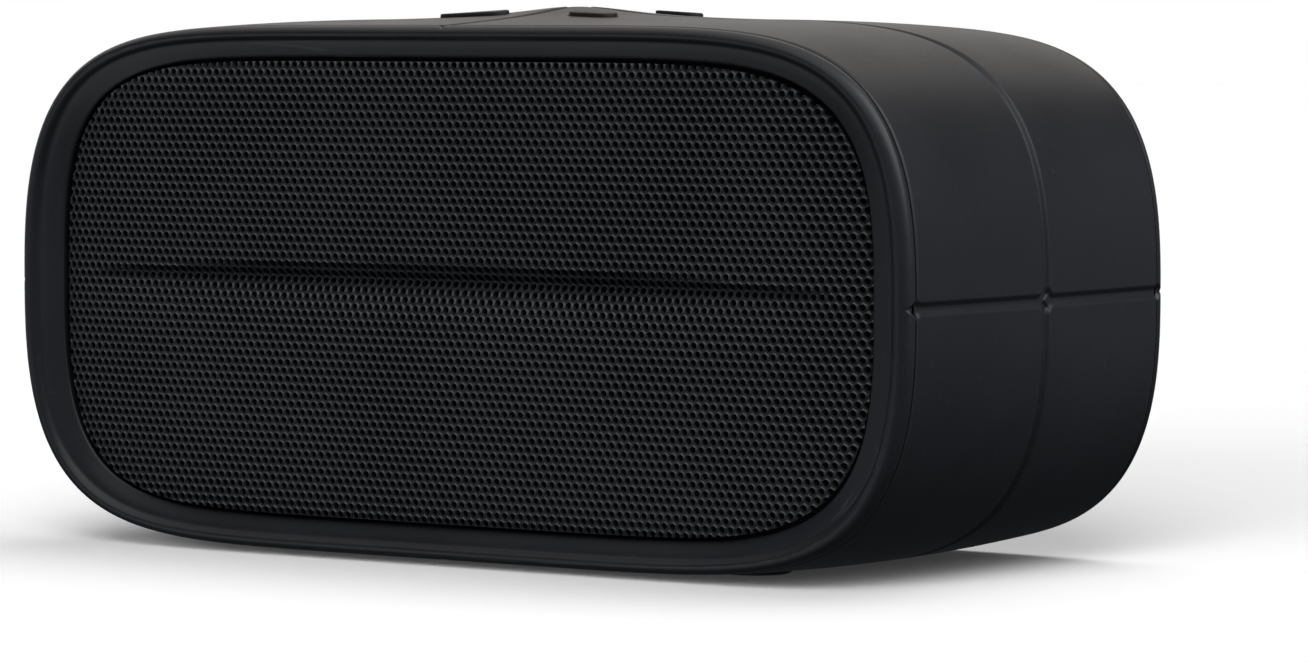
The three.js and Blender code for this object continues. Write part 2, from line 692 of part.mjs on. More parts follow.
const driverMagnet = (x) => turned(x, [
  [0, MAGNET_FRONT], [POLE_RADIUS, MAGNET_FRONT], [POLE_RADIUS, COIL_GAP_FLOOR],
  [COIL_GAP_RADIUS, COIL_GAP_FLOOR], [COIL_GAP_RADIUS, MAGNET_FRONT],
  [MAGNET_RADIUS, MAGNET_FRONT], [MAGNET_RADIUS, MAGNET_BACK], [0, MAGNET_BACK],
]);

const driverCoil = (x) => turned(x, [
  [COIL_INNER_RADIUS, COIL_FRONT], [COIL_OUTER_RADIUS, COIL_FRONT],
  [COIL_OUTER_RADIUS, COIL_BACK], [COIL_INNER_RADIUS, COIL_BACK],
]);

const driverCone = (x) => turned(x, [
  [CONE_RADIUS, CONE_FRONT], [CONE_RADIUS, CONE_FRONT + CONE_WALL],
  [NECK_RADIUS + GAP, NECK_Y + CONE_WALL], [NECK_RADIUS, NECK_Y],
]);

function driverCap(x) {
  const [radius, rimY, rise, wall, steps] = [9.9, -21.5, 2.8, 0.5, 3];
  const arc = (thickness) => Array.from({ length: steps + 1 }, (_, i) => [
    radius * i / steps,
    rimY + thickness - rise * (1 - (i / steps) ** 2),
  ]);
  return turned(x, [...arc(0), ...arc(wall).reverse()]);
}

function driverSurround(x) {
  const inner = CONE_RADIUS + SURROUND_GAP;
  const [rollRadius, wall, lipRadius, seat, steps] = [2.1, 0.5, 27.6, FLANGE_FRONT - GAP, 5];
  const middle = inner + rollRadius;
  const arc = (radius) => Array.from({ length: steps + 1 }, (_, i) => [
    middle - radius * Math.cos(Math.PI * i / steps),
    seat - radius * Math.sin(Math.PI * i / steps),
  ]);
  const outer = arc(rollRadius);
  const under = arc(rollRadius - wall).reverse();
  return turned(x, [...outer.slice(0, -1), [middle + rollRadius, seat - wall], [lipRadius, seat - wall],
    [lipRadius, seat], ...under]);
}

// ---------------------------------------------------------------- rear
const PANEL_FRONT = PANEL_BACK - PANEL_THICKNESS;
const LIGHT_RADIUS = 1.5;
const LIGHT_Z = BAY_HEIGHT / 2 + 6;  // above the middle of the body
const LIGHT_PROUD = 0.2;

function rearPanel() {
  const radiator = new THREE.Path(racetrack(RADIATOR_HALF_LENGTH + GAP, RADIATOR_HALF_HEIGHT + GAP));
  const [w, h] = [BAY_WIDTH / 2 + GAP, BAY_HEIGHT / 2 + GAP];
  const bay = new THREE.Path([
    new THREE.Vector2(BAY_X - w, -h), new THREE.Vector2(BAY_X - w, h),
    new THREE.Vector2(BAY_X + w, h), new THREE.Vector2(BAY_X + w, -h),
  ]);
  const light = circle(BAY_X, LIGHT_Z, LIGHT_RADIUS + GAP, 14);
  const holes = [radiator, bay, light];
  for (const [x, z] of REAR_BOSSES) holes.push(circle(x, z - CENTRE_Z, SCREW_RADIUS + GAP, SCREW_SEGMENTS));
  const panel = plate((angle) => openingPoint(angle, GAP), PANEL_FRONT, PANEL_BACK, holes);
  const seats = REAR_BOSSES.map(([x, z]) =>
    barY(x, z, HEAD_RADIUS + GAP, PANEL_BACK - HEAD_HEIGHT - GAP, PANEL_BACK + 1, SCREW_SEGMENTS));
  return cut(panel, seats);
}

// Points of a long oval with straight sides and round ends.
function racetrack(halfLength, halfHeight, segments = 10) {
  return pill(0, 0, 2 * halfLength, 2 * halfHeight, segments);
}

const RADIATOR_PLATE_HALF_LENGTH = 31;
const RADIATOR_PLATE_HALF_HEIGHT = 14;
const RADIATOR_PLATE_THICKNESS = 1.6;
const RADIATOR_PLATE_BACK = PANEL_BACK - 0.2;

// A rubber half-roll round the radiator plate, fixed in the panel's opening.
function radiatorSurround() {
  const segments = 10;
  const rings = [
    [0, PANEL_FRONT], [0, PANEL_BACK - 0.4], [2.4, PANEL_BACK - 0.4], [3.2, PANEL_BACK + 0.6],
    [5.0, PANEL_BACK + 1.2], [6.8, PANEL_BACK + 0.6], [7.6, PANEL_BACK - 0.8],
    [7.6, PANEL_BACK - 1.6], [5.0, PANEL_BACK + 0.2], [2.4, PANEL_FRONT],
  ];
  const outlines = rings.map(([inset]) =>
    racetrack(RADIATOR_HALF_LENGTH - inset, RADIATOR_HALF_HEIGHT - inset, segments));
  const count = outlines[0].length;
  const grid = Array.from({ length: count }, (_, i) =>
    rings.map(([, y], j) => [outlines[j][i].x, y, CENTRE_Z + outlines[j][i].y]));
  return ringBody(grid);
}

function radiatorPlate() {
  const shape = new THREE.Shape(racetrack(RADIATOR_PLATE_HALF_LENGTH, RADIATOR_PLATE_HALF_HEIGHT));
  const depth = RADIATOR_PLATE_THICKNESS;
  return standing(new THREE.ExtrudeGeometry(shape, { depth, bevelEnabled: false }), RADIATOR_PLATE_BACK);
}

const BAY_BACK = PANEL_FRONT - GAP;
const BAY_FLOOR = BAY_BACK - BAY_DEPTH;
const USB_X = BAY_X - 8;
const AUX_X = BAY_X + 7;
const USB_HALF_WIDTH = 4;
const USB_HALF_HEIGHT = 1.6;
const USB_WALL = 0.5;
const USB_TONGUE_HALF_WIDTH = 2.6;
const USB_TONGUE_HALF_HEIGHT = 0.3;
const AUX_RADIUS = 3;
const AUX_BORE_RADIUS = 1.8;
const SOCKET_FRONT = 26.7;
const SOCKET_BACK = BAY_FLOOR + BAY_WALL + 0.8;
const SOCKET_FLOOR = 0.8;            // thickness behind each socket's bore

function portBay() {
  const [w, h] = [BAY_WIDTH / 2 + 1, BAY_HEIGHT / 2 + 1];
  const outer = box(BAY_X - w, BAY_X + w, BAY_FLOOR, BAY_BACK, CENTRE_Z - h, CENTRE_Z + h);
  const inner = box(BAY_X - w + BAY_WALL, BAY_X + w - BAY_WALL, BAY_FLOOR + BAY_WALL, BAY_BACK + 1,
    CENTRE_Z - h + BAY_WALL, CENTRE_Z + h - BAY_WALL);
  const [usbX, usbZ] = [USB_HALF_WIDTH + GAP, USB_HALF_HEIGHT + GAP];
  const [low, high] = [BAY_FLOOR - 1, BAY_FLOOR + BAY_WALL + 1];
  const usb = box(USB_X - usbX, USB_X + usbX, low, high, CENTRE_Z - usbZ, CENTRE_Z + usbZ);
  const aux = barY(AUX_X, CENTRE_Z, AUX_RADIUS + GAP, low, high, 20);
  return cut(outer, [inner, usb, aux]);
}

function usbSocket() {
  const [w, h] = [USB_HALF_WIDTH, USB_HALF_HEIGHT];
  const [innerW, innerH] = [w - USB_WALL, h - USB_WALL];
  const [tongueW, tongueH] = [USB_TONGUE_HALF_WIDTH, USB_TONGUE_HALF_HEIGHT];
  const shell = box(USB_X - w, USB_X + w, SOCKET_FRONT, SOCKET_BACK, CENTRE_Z - h, CENTRE_Z + h);
  const mouth = box(USB_X - innerW, USB_X + innerW, SOCKET_FRONT + SOCKET_FLOOR, SOCKET_BACK + 1,
    CENTRE_Z - innerH, CENTRE_Z + innerH);
  const tongue = box(USB_X - tongueW, USB_X + tongueW, SOCKET_FRONT + SOCKET_FLOOR / 2,
    SOCKET_BACK - USB_WALL, CENTRE_Z - tongueH, CENTRE_Z + tongueH);
  return join([cut(shell, [mouth]), tongue]);
}

function auxSocket() {
  return cut(barY(AUX_X, CENTRE_Z, AUX_RADIUS, SOCKET_FRONT, SOCKET_BACK, 20), [
    barY(AUX_X, CENTRE_Z, AUX_BORE_RADIUS, SOCKET_FRONT + SOCKET_FLOOR, SOCKET_BACK + 1, 16),
  ]);
}

// The rubber flap over the ports, with a finger notch in its free upper edge.
function portFlap() {
  const [w, h] = [BAY_WIDTH / 2, BAY_HEIGHT / 2];
  const corner = 1.5;
  const notch = 3;
  const notchDepth = 1.2;
  const depth = 1.8;
  const shape = new THREE.Shape();
  shape.moveTo(BAY_X - w, -h);
  shape.lineTo(BAY_X + w, -h);
  shape.lineTo(BAY_X + w, h - corner);
  shape.lineTo(BAY_X + w - corner, h);
  shape.lineTo(BAY_X + notch + 1, h);
  shape.lineTo(BAY_X + notch, h - notchDepth);
  shape.lineTo(BAY_X - notch, h - notchDepth);
  shape.lineTo(BAY_X - notch - 1, h);
  shape.lineTo(BAY_X - w + corner, h);
  shape.lineTo(BAY_X - w, h - corner);
  return standing(new THREE.ExtrudeGeometry(shape, { depth, bevelEnabled: false }), PANEL_BACK);
}

function statusLight() {
  return barY(BAY_X, CENTRE_Z + LIGHT_Z, LIGHT_RADIUS, PANEL_FRONT - 1, PANEL_BACK + LIGHT_PROUD, 14);
}

// ---------------------------------------------------------------- electronics
const BOARD_BACK = 26.4;
const BOARD_FRONT = 24.8;
const CHIP_BACK = BOARD_FRONT - GAP;
const CHIP_FRONT = CHIP_BACK - 1.3;

function mainBoard() {
  const [x0, x1, half, holeInset, holeRadius] = [-80, -40, 21, 4, 1.6];
  const shape = new THREE.Shape([
    new THREE.Vector2(x0, -half), new THREE.Vector2(x1, -half),
    new THREE.Vector2(x1, half), new THREE.Vector2(x0, half),
  ]);
  shape.holes.push(
    circle(x0 + holeInset, half - holeInset, holeRadius, 12),
    circle(x1 - holeInset, holeInset - half, holeRadius, 12),
  );
  return standing(
    new THREE.ExtrudeGeometry(shape, { depth: BOARD_BACK - BOARD_FRONT, bevelEnabled: false }), BOARD_BACK,
  );
}

const CELL_RADIUS = 9.2;
const CELL_HALF_LENGTH = 32.5;
const CELL_Y = 13.5;
const CELL_SPACING = 9.6;
const TRAY_FLOOR = 1.6;
const TRAY_WALL = 1.5;
const TRAY_REACH = 5;                // the tray's ends go this far past the cells' middle

function batteryCell(side) {
  const geometry = new THREE.CylinderGeometry(CELL_RADIUS, CELL_RADIUS, 2 * CELL_HALF_LENGTH, 24);
  geometry.rotateZ(Math.PI / 2);
  geometry.translate(0, CELL_Y, CENTRE_Z + side * CELL_SPACING);
  return geometry;
}

function batteryTray() {
  const half = CELL_SPACING + CELL_RADIUS + 1;
  const front = CELL_Y - CELL_RADIUS - GAP;
  const end = CELL_HALF_LENGTH + GAP;
  return join([
    box(-end - TRAY_WALL, end + TRAY_WALL, front - TRAY_FLOOR, front, CENTRE_Z - half, CENTRE_Z + half),
    box(-end - TRAY_WALL, -end, front - 1, CELL_Y + TRAY_REACH, CENTRE_Z - half, CENTRE_Z + half),
    box(end, end + TRAY_WALL, front - 1, CELL_Y + TRAY_REACH, CENTRE_Z - half, CENTRE_Z + half),
  ]);
}

// ---------------------------------------------------------------- keys
const KEY_FOOT = CENTRE_Z + HALF_HEIGHT - SLEEVE_WALL + KEY_TRAVEL;
const PLUNGER_END = CENTRE_Z + 40.3;
const SWITCH_TOP = PLUNGER_END - KEY_TRAVEL - 0.2;
const SWITCH_HALF_WIDTH = 3;
const KEY_BOARD_TOP = SWITCH_TOP - 2.4;
const KEY_BOARD_HALF_LENGTH = 20;
const KEY_BOARD_HALF_WIDTH = 18;
const KEY_BOARD_THICKNESS = 1.2;

function key(spec) {
  const cap = onlyPositions(keyPrism(spec, 0, KEY_FOOT, KEY_FOOT + 1));
  const at = cap.attributes.position;
  for (let i = 0; i < at.count; i++) {
    if (at.getZ(i) > KEY_FOOT + 0.5) at.setZ(i, topAt(at.getX(i), at.getY(i)) + KEY_RISE);
  }
  return join([cap, barZ(spec.x, spec.y, PLUNGER_RADIUS, PLUNGER_END, KEY_FOOT + 1, 12)]);
}

// ---------------------------------------------------------------- assembly
place('outer_sleeve', 'sleeve_rubber', sleeve());
place('front_bezel', 'bezel_plastic', bezel(-1));
place('rear_bezel', 'bezel_plastic', bezel(1));
place('front_grille', 'grille_metal', grille());
place('dust_cloth', 'cloth', sheet(
  (angle) => bodyPoint(angle, HOUSING_INNER + 2 * GAP), -CLOTH_Y, -CLOTH_Y + CLOTH_THICKNESS,
));
place('inner_housing', 'inner_plastic', housing());
place('driver_baffle', 'inner_plastic', baffle());
FRONT_BOSSES.forEach((at, i) =>
  place(`baffle_screw_${i + 1}`, 'screw_steel', screw(at, -(BAFFLE_FRONT + GAP + HEAD_HEIGHT), 1)));

for (const [side, x] of [['left', -DRIVER_X], ['right', DRIVER_X]]) {
  place(`${side}_driver_frame`, 'driver_steel', driverFrame(x));
  place(`${side}_driver_magnet`, 'magnet_ferrite', driverMagnet(x));
  place(`${side}_driver_surround`, 'surround_rubber', driverSurround(x));
  place(`${side}_driver_cone`, 'cone_paper', driverCone(x));
  place(`${side}_driver_dust_cap`, 'cone_paper', driverCap(x));
  place(`${side}_driver_voice_coil`, 'coil_copper', driverCoil(x));
}

place('rear_panel', 'bezel_plastic', rearPanel());
REAR_BOSSES.forEach((at, i) => place(`rear_screw_${i + 1}`, 'screw_steel', screw(at, PANEL_BACK, -1)));
place('radiator_surround', 'surround_rubber', radiatorSurround());
place('radiator_plate', 'bezel_plastic', radiatorPlate());
place('port_bay', 'inner_plastic', portBay());
place('port_flap', 'key_rubber', portFlap());
place('usb_socket', 'socket_metal', usbSocket());
place('aux_socket', 'chip_black', auxSocket());
place('status_light', 'lens_clear', statusLight());

place('main_board', 'board_green', mainBoard());
place('bluetooth_module', 'chip_black', box(-76, -60, CHIP_FRONT, CHIP_BACK, CENTRE_Z + 6, CENTRE_Z + 18));
place('amplifier_chip', 'chip_black', box(-56, -48, CHIP_FRONT, CHIP_BACK, CENTRE_Z - 4, CENTRE_Z + 4));
place('battery_cell_upper', 'cell_wrap', batteryCell(1));
place('battery_cell_lower', 'cell_wrap', batteryCell(-1));
place('battery_tray', 'inner_plastic', batteryTray());
place('key_board', 'board_green', box(
  -KEY_BOARD_HALF_LENGTH, KEY_BOARD_HALF_LENGTH, -KEY_BOARD_HALF_WIDTH, KEY_BOARD_HALF_WIDTH,
  KEY_BOARD_TOP - KEY_BOARD_THICKNESS, KEY_BOARD_TOP,
));

for (const spec of KEYS) {
  place(spec.name, 'key_rubber', key(spec));
  place(spec.name.replace('key', 'switch'), 'chip_black', box(
    spec.x - SWITCH_HALF_WIDTH, spec.x + SWITCH_HALF_WIDTH,
    spec.y - SWITCH_HALF_WIDTH, spec.y + SWITCH_HALF_WIDTH, KEY_BOARD_TOP + GAP, SWITCH_TOP,
  ));
}
for (const foot of FEET) {
  place(foot.name, 'foot_rubber', barZ(foot.x, foot.y, FOOT_RADIUS, 0, FOOT_HEIGHT, 20));
}

export default root;
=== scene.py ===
import json
import math

import bpy
import numpy as np
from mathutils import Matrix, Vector


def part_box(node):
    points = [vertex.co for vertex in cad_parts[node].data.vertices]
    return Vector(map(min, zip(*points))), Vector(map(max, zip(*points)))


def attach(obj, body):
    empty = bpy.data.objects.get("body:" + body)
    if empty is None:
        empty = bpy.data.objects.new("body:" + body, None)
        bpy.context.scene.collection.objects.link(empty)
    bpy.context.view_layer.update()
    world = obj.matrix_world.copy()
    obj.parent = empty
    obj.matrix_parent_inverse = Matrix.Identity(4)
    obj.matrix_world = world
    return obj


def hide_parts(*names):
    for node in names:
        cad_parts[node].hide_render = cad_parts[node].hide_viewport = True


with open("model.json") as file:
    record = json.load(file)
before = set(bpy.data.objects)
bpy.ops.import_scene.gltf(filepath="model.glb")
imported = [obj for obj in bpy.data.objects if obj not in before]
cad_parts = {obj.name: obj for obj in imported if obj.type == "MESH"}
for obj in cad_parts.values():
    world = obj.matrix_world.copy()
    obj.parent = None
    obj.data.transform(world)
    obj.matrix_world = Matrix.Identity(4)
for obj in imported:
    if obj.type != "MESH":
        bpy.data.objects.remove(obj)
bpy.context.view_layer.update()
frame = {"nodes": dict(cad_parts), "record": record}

# The script works in millimetres and writes its meshes in metres.
MM = 0.001


def box_mm(node):
    low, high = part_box(node)
    return np.array(low) / MM, np.array(high) / MM


# ---------------------------------------------------------------- sizes, from the frame
bezel_low, bezel_high = box_mm("front_bezel")
sleeve_high = box_mm("outer_sleeve")[1]
grille_low, grille_high = box_mm("front_grille")

HALF_WIDTH = bezel_high[0]
HALF_HEIGHT = (bezel_high[2] - bezel_low[2]) / 2
CENTRE_Z = (bezel_high[2] + bezel_low[2]) / 2
WIDTH_POWER, HEIGHT_POWER = 6.2, 2.7
OPENING_GAP = 0.3
OPENING_HALF_WIDTH = grille_high[0] + OPENING_GAP
OPENING_HALF_HEIGHT = (grille_high[2] - grille_low[2]) / 2 + OPENING_GAP
OPENING_WIDTH_POWER, OPENING_HEIGHT_POWER = 6.74, 3.13

SLEEVE_END = sleeve_high[1]
PARTING_Y = SLEEVE_END + 0.15
BEZEL_FRONT = -bezel_low[1]
TONGUE_BACK = -bezel_high[1]
BEZEL_INNER_BACK = BEZEL_FRONT - 4.2
SLEEVE_WALL = 2.4
HOUSING_OUTER, HOUSING_INNER = 2.7, 4.7
CROWN = sleeve_high[0] - HALF_WIDTH
DOME_HEIGHT, DOME_SPREAD, DOME_REACH = 2.2, 14.0, 36.0

SEAM_HALF, SEAM_DEPTH = 0.8, 0.78
LINE_HALF, TOP_LINE_DEPTH, END_LINE_DEPTH = 0.75, 0.7, 0.5
PAD_CORNER = 1.7
LIP = 0.5
# The share of the half width or half height past which a point is on an end, or on the top or bottom.
SIDE_SHARE = 0.7

PITCH = 1.65
HOLE_RADIUS = 0.585
HOLE_SIDES = 12
SHEET_THICKNESS = 0.6
GRILLE_FACE = -grille_low[1]
RIM_RISE = 0.25
GRILLE_EDGE_GAP = 0.5
GRILLE_WIDTH_POWER, GRILLE_HEIGHT_POWER = 6.6, 3.12
END_START, END_DROP = 56.0, 2.0
ROLL, ROLL_DROP = 3.0, 0.3
CREASE_Z, CREASE_DEPTH, CREASE_FLANK, CREASE_FADE = 1.9, 3.1, 3.2, 4.6
CREASE_HALF_LENGTH, CREASE_POWER = 80.0, 2.2
# The upper flank is part straight and part eased: the eased share, and how strongly it eases.
CREASE_EASED, CREASE_EASE = 0.45, 0.6


# ---------------------------------------------------------------- outlines
class Outline:
    """The rounded-rectangle curve |x/a|^n + |z/b|^m = 1, by the angle of its unit-square direction."""

    def __init__(self, half_width, half_height, width_power, height_power):
        self.a, self.b = half_width, half_height
        self.n, self.m = width_power, height_power

    def points(self, angle, inset=0.0):
        c, s = np.cos(angle), np.sin(angle)
        low, high = np.ones_like(angle), np.full_like(angle, 1.5)
        for _ in range(48):
            middle = (low + high) / 2
            inside = (middle * np.abs(c)) ** self.n + (middle * np.abs(s)) ** self.m < 1
            low, high = np.where(inside, middle, low), np.where(inside, high, middle)
        return np.stack([(self.a - inset) * low * c, (self.b - inset) * low * s], -1)

    def normals(self, angle):
        x, z = self.points(angle).T
        gx = self.n * np.sign(x) * np.abs(x / self.a) ** (self.n - 1) / self.a
        gz = self.m * np.sign(z) * np.abs(z / self.b) ** (self.m - 1) / self.b
        length = np.hypot(gx, gz)
        return np.stack([gx / length, gz / length], -1)

    def holds(self, x, z, inset=0.0):
        return (np.abs(x) / (self.a - inset)) ** self.n + (np.abs(z) / (self.b - inset)) ** self.m < 1


BODY = Outline(HALF_WIDTH, HALF_HEIGHT, WIDTH_POWER, HEIGHT_POWER)
OPENING = Outline(OPENING_HALF_WIDTH, OPENING_HALF_HEIGHT, OPENING_WIDTH_POWER, OPENING_HEIGHT_POWER)
SHEET = Outline(OPENING_HALF_WIDTH - GRILLE_EDGE_GAP, OPENING_HALF_HEIGHT - GRILLE_EDGE_GAP,
                GRILLE_WIDTH_POWER, GRILLE_HEIGHT_POWER)


def smooth_step(t):
    t = np.clip(t, 0.0, 1.0)
    return t * t * (3 - 2 * t)


def spaced(positions, step_at):
    """Picks places along a fine list of positions so that neighbours lie step_at apart."""
    steps = np.diff(positions) / step_at((positions[1:] + positions[:-1]) / 2)
    total = np.concatenate([[0.0], np.cumsum(np.abs(steps))])
    count = int(round(total[-1]))
    return np.interp(np.linspace(0, total[-1], count + 1), total, positions)


def line_distance(x, z):
    """Distance round the outline to the nearest of the four long grooves: top, bottom and both ends."""
    far = 1e3
    over = np.where(np.abs(z) > SIDE_SHARE * HALF_HEIGHT, np.abs(x), far)
    end = np.where(np.abs(x) > SIDE_SHARE * HALF_WIDTH, np.abs(z), far)
    return np.minimum(over, end)


def round_angles(coarse, fine, reach):
    """Angles round the body's outline, coarse apart, but fine apart near the long grooves."""
    angle = np.linspace(0, 2 * math.pi, 40001)
    x, z = BODY.points(angle).T
    arc = np.concatenate([[0.0], np.cumsum(np.hypot(np.diff(x), np.diff(z)))])
    near = smooth_step((line_distance(x, z) - reach) / reach)
    step = fine + (coarse - fine) * near
    picked = spaced(arc, lambda place: np.interp(place, arc, step))
    return np.interp(picked[:-1], arc, angle)


def crown_at(y):
    return CROWN * (1 - (y / PARTING_Y) ** 2)


def dome_at(x, y):
    def bell(radius):
        return 1 / (1 + (radius / DOME_SPREAD) ** 2)

    radius = np.minimum(np.hypot(x, y), DOME_REACH)
    return DOME_HEIGHT * (bell(radius) - bell(DOME_REACH)) / (1 - bell(DOME_REACH))


def top_at(x, y):
    flat = (1 - (np.abs(x) / HALF_WIDTH) ** WIDTH_POWER) ** (1 / HEIGHT_POWER)
    return CENTRE_Z + HALF_HEIGHT * flat + crown_at(y) + dome_at(x, y)


# ---------------------------------------------------------------- meshes
def new_piece(name, points, faces, smooth=35.0):
    """A mesh object from points in millimetres. Edges sharper than smooth degrees stay sharp."""
    mesh = bpy.data.meshes.new(name)
    mesh.from_pydata((np.asarray(points, float) * MM).tolist(), [], [list(map(int, f)) for f in faces])
    mesh.validate()
    mesh.update()
    piece = bpy.data.objects.new(name, mesh)
    bpy.context.scene.collection.objects.link(piece)
    if smooth:
        mesh.shade_smooth()
        mesh.set_sharp_from_angle(angle=math.radians(smooth))
    return piece


def grid_faces(rows, columns, close_rows=True, close_columns=True):
    """Quads of a grid of points numbered row by row."""
    i = np.arange(rows if close_rows else rows - 1)
    j = np.arange(columns if close_columns else columns - 1)
    a, b = np.meshgrid(i, j, indexing="ij")
    a, b = a.ravel(), b.ravel()
    a2, b2 = (a + 1) % rows, (b + 1) % columns
    return np.stack([a * columns + b, a2 * columns + b, a2 * columns + b2, a * columns + b2], -1)


def ring_piece(name, grid, smooth=35.0):
    """A closed ring: grid[i, j] runs round the section at station i."""
    rows, columns = grid.shape[:2]
    piece = new_piece(name, grid.reshape(-1, 3), grid_faces(rows, columns), smooth)
    face_outward(piece)
    return piece


def face_outward(piece):
    """Turns every face outward, by the sign of the enclosed volume."""
    mesh = piece.data
    mesh.calc_loop_triangles()
    points = np.array([v.co for v in mesh.vertices])
    corners = np.array([t.vertices for t in mesh.loop_triangles])
    a, b, c = points[corners[:, 0]], points[corners[:, 1]], points[corners[:, 2]]
    if np.einsum("ij,ij->i", a, np.cross(b, c)).sum() < 0:
        mesh.flip_normals()


def rounded_loop(points, passes=3):
    """Cuts the corners of a closed loop of points, which rounds it."""
    loop = np.asarray(points, float)
    for _ in range(passes):
        after = np.roll(loop, -1, axis=0)
        pairs = np.stack([0.75 * loop + 0.25 * after, 0.25 * loop + 0.75 * after], 1)
        loop = pairs.reshape(-1, loop.shape[1])
    return loop


def carve(piece, cutters, operation="DIFFERENCE"):
    """Cuts closed pieces out of a closed piece and removes them."""
    for cutter in cutters:
        step = piece.modifiers.new("cut", "BOOLEAN")
        step.operation, step.solver, step.object = operation, "MANIFOLD", cutter
    evaluated = piece.evaluated_get(bpy.context.evaluated_depsgraph_get())
    mesh = bpy.data.meshes.new_from_object(evaluated)
    piece.modifiers.clear()
    old = piece.data
    piece.data = mesh
    bpy.data.meshes.remove(old)
    for cutter in cutters:
        bpy.data.objects.remove(cutter)


def loft(name, rings, smooth=35.0):
    """A closed body through rings of equally many points, with flat fans over both ends."""
    rings = np.asarray(rings, float)
    count, around = rings.shape[:2]
    points = np.concatenate([rings.reshape(-1, 3), rings[0].mean(0)[None], rings[-1].mean(0)[None]])
    faces = grid_faces(count, around, close_rows=False).tolist()
    first, last = count * around, count * around + 1
    for k in range(around):
        after = (k + 1) % around
        faces.append([first, k, after])
        faces.append([last, (count - 1) * around + after, (count - 1) * around + k])
    piece = new_piece(name, points, faces, smooth)
    face_outward(piece)
    return piece


PILL_SEGMENTS = 16


def pill(length, width, segments=PILL_SEGMENTS):
    """Points of a bar outline with round ends, centred, its long side along the first axis."""
    reach = (length - width) / 2
    turn = np.linspace(-math.pi / 2, math.pi / 2, segments + 1)
    right = np.stack([reach + width / 2 * np.cos(turn), width / 2 * np.sin(turn)], -1)
    return np.concatenate([right, -right])


def stand_in(piece, body, nodes, material):
    """Hands a finished piece to the frame: what it rides on, replaces and is made of."""
    piece.data.materials.clear()
    piece.data.materials.append(material)
    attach(piece, body)
    if nodes:
        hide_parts(*nodes)
    return piece


# ---------------------------------------------------------------- materials
class Nodes:
    """Short calls for building one material's node tree."""

    def __init__(self, name):
        self.material = bpy.data.materials.new(name)
        self.material.use_nodes = True
        self.tree = self.material.node_tree
        self.tree.nodes.clear()
        self.shader = self.add("BsdfPrincipled")
        output = self.add("OutputMaterial")
        self.tree.links.new(self.shader.outputs["BSDF"], output.inputs["Surface"])
        self.place = self.add("TexCoord").outputs["Object"]

    def add(self, kind):
        return self.tree.nodes.new("ShaderNode" + kind)

    def link(self, source, target):
        self.tree.links.new(source, target)

    def stretched(self, scale):
        mapping = self.add("Mapping")
        mapping.inputs["Scale"].default_value = scale
        self.link(self.place, mapping.inputs["Vector"])
        return mapping.outputs["Vector"]

    def noise(self, scale, detail=3.0, rough=0.55, place=None):
        noise = self.add("TexNoise")
        noise.inputs["Scale"].default_value = scale
        noise.inputs["Detail"].default_value = detail
        noise.inputs["Roughness"].default_value = rough
        self.link(place or self.place, noise.inputs["Vector"])
        return noise.outputs["Fac"]

    def cells(self, scale, place=None):
        cells = self.add("TexVoronoi")
        cells.inputs["Scale"].default_value = scale
        self.link(place or self.place, cells.inputs["Vector"])
        return cells.outputs["Distance"]

    def waves(self, scale, direction, distortion=0.0, place=None):
        wave = self.add("TexWave")
        wave.bands_direction = direction
        wave.inputs["Scale"].default_value = scale
        wave.inputs["Distortion"].default_value = distortion
        self.link(place or self.place, wave.inputs["Vector"])
        return wave.outputs["Fac"]

    def spread(self, value, low, high, start=0.0, end=1.0):
        span = self.add("MapRange")
        span.inputs["From Min"].default_value = start
        span.inputs["From Max"].default_value = end
        span.inputs["To Min"].default_value = low
        span.inputs["To Max"].default_value = high
        self.link(value, span.inputs["Value"])
        return span.outputs["Result"]

    def mixed(self, share, first, second):
        mix = self.add("Mix")
        mix.data_type = "RGBA"
        self.link(share, mix.inputs["Factor"])
        for colour, socket in ((first, mix.inputs[6]), (second, mix.inputs[7])):
            if isinstance(colour, tuple):
                socket.default_value = (*colour, 1.0)
            else:
                self.link(colour, socket)
        return mix.outputs[2]

    def combined(self, first, second, operation="MULTIPLY"):
        maths = self.add("Math")
        maths.operation = operation
        self.link(first, maths.inputs[0])
        self.link(second, maths.inputs[1])
        return maths.outputs[0]

    def edge(self, low, high):
        """1 on sharp outward edges, found by the mesh's pointiness, and 0 elsewhere."""
        geometry = self.add("NewGeometry")
        return self.spread(geometry.outputs["Pointiness"], 0.0, 1.0, low, high)

    def bump(self, height, strength, distance, under=None):
        bump = self.add("Bump")
        bump.inputs["Strength"].default_value = strength
        bump.inputs["Distance"].default_value = distance
        self.link(height, bump.inputs["Height"])
        if under is not None:
            self.link(under, bump.inputs["Normal"])
        return bump.outputs["Normal"]

    def done(self, colour, roughness, normal=None, metallic=0.0, **sockets):
        self.link(colour, self.shader.inputs["Base Color"])
        self.link(roughness, self.shader.inputs["Roughness"])
        if normal is not None:
            self.link(normal, self.shader.inputs["Normal"])
        self.shader.inputs["Metallic"].default_value = metallic
        for name, value in sockets.items():
            self.shader.inputs[name.replace("_", " ")].default_value = value
        return self.material


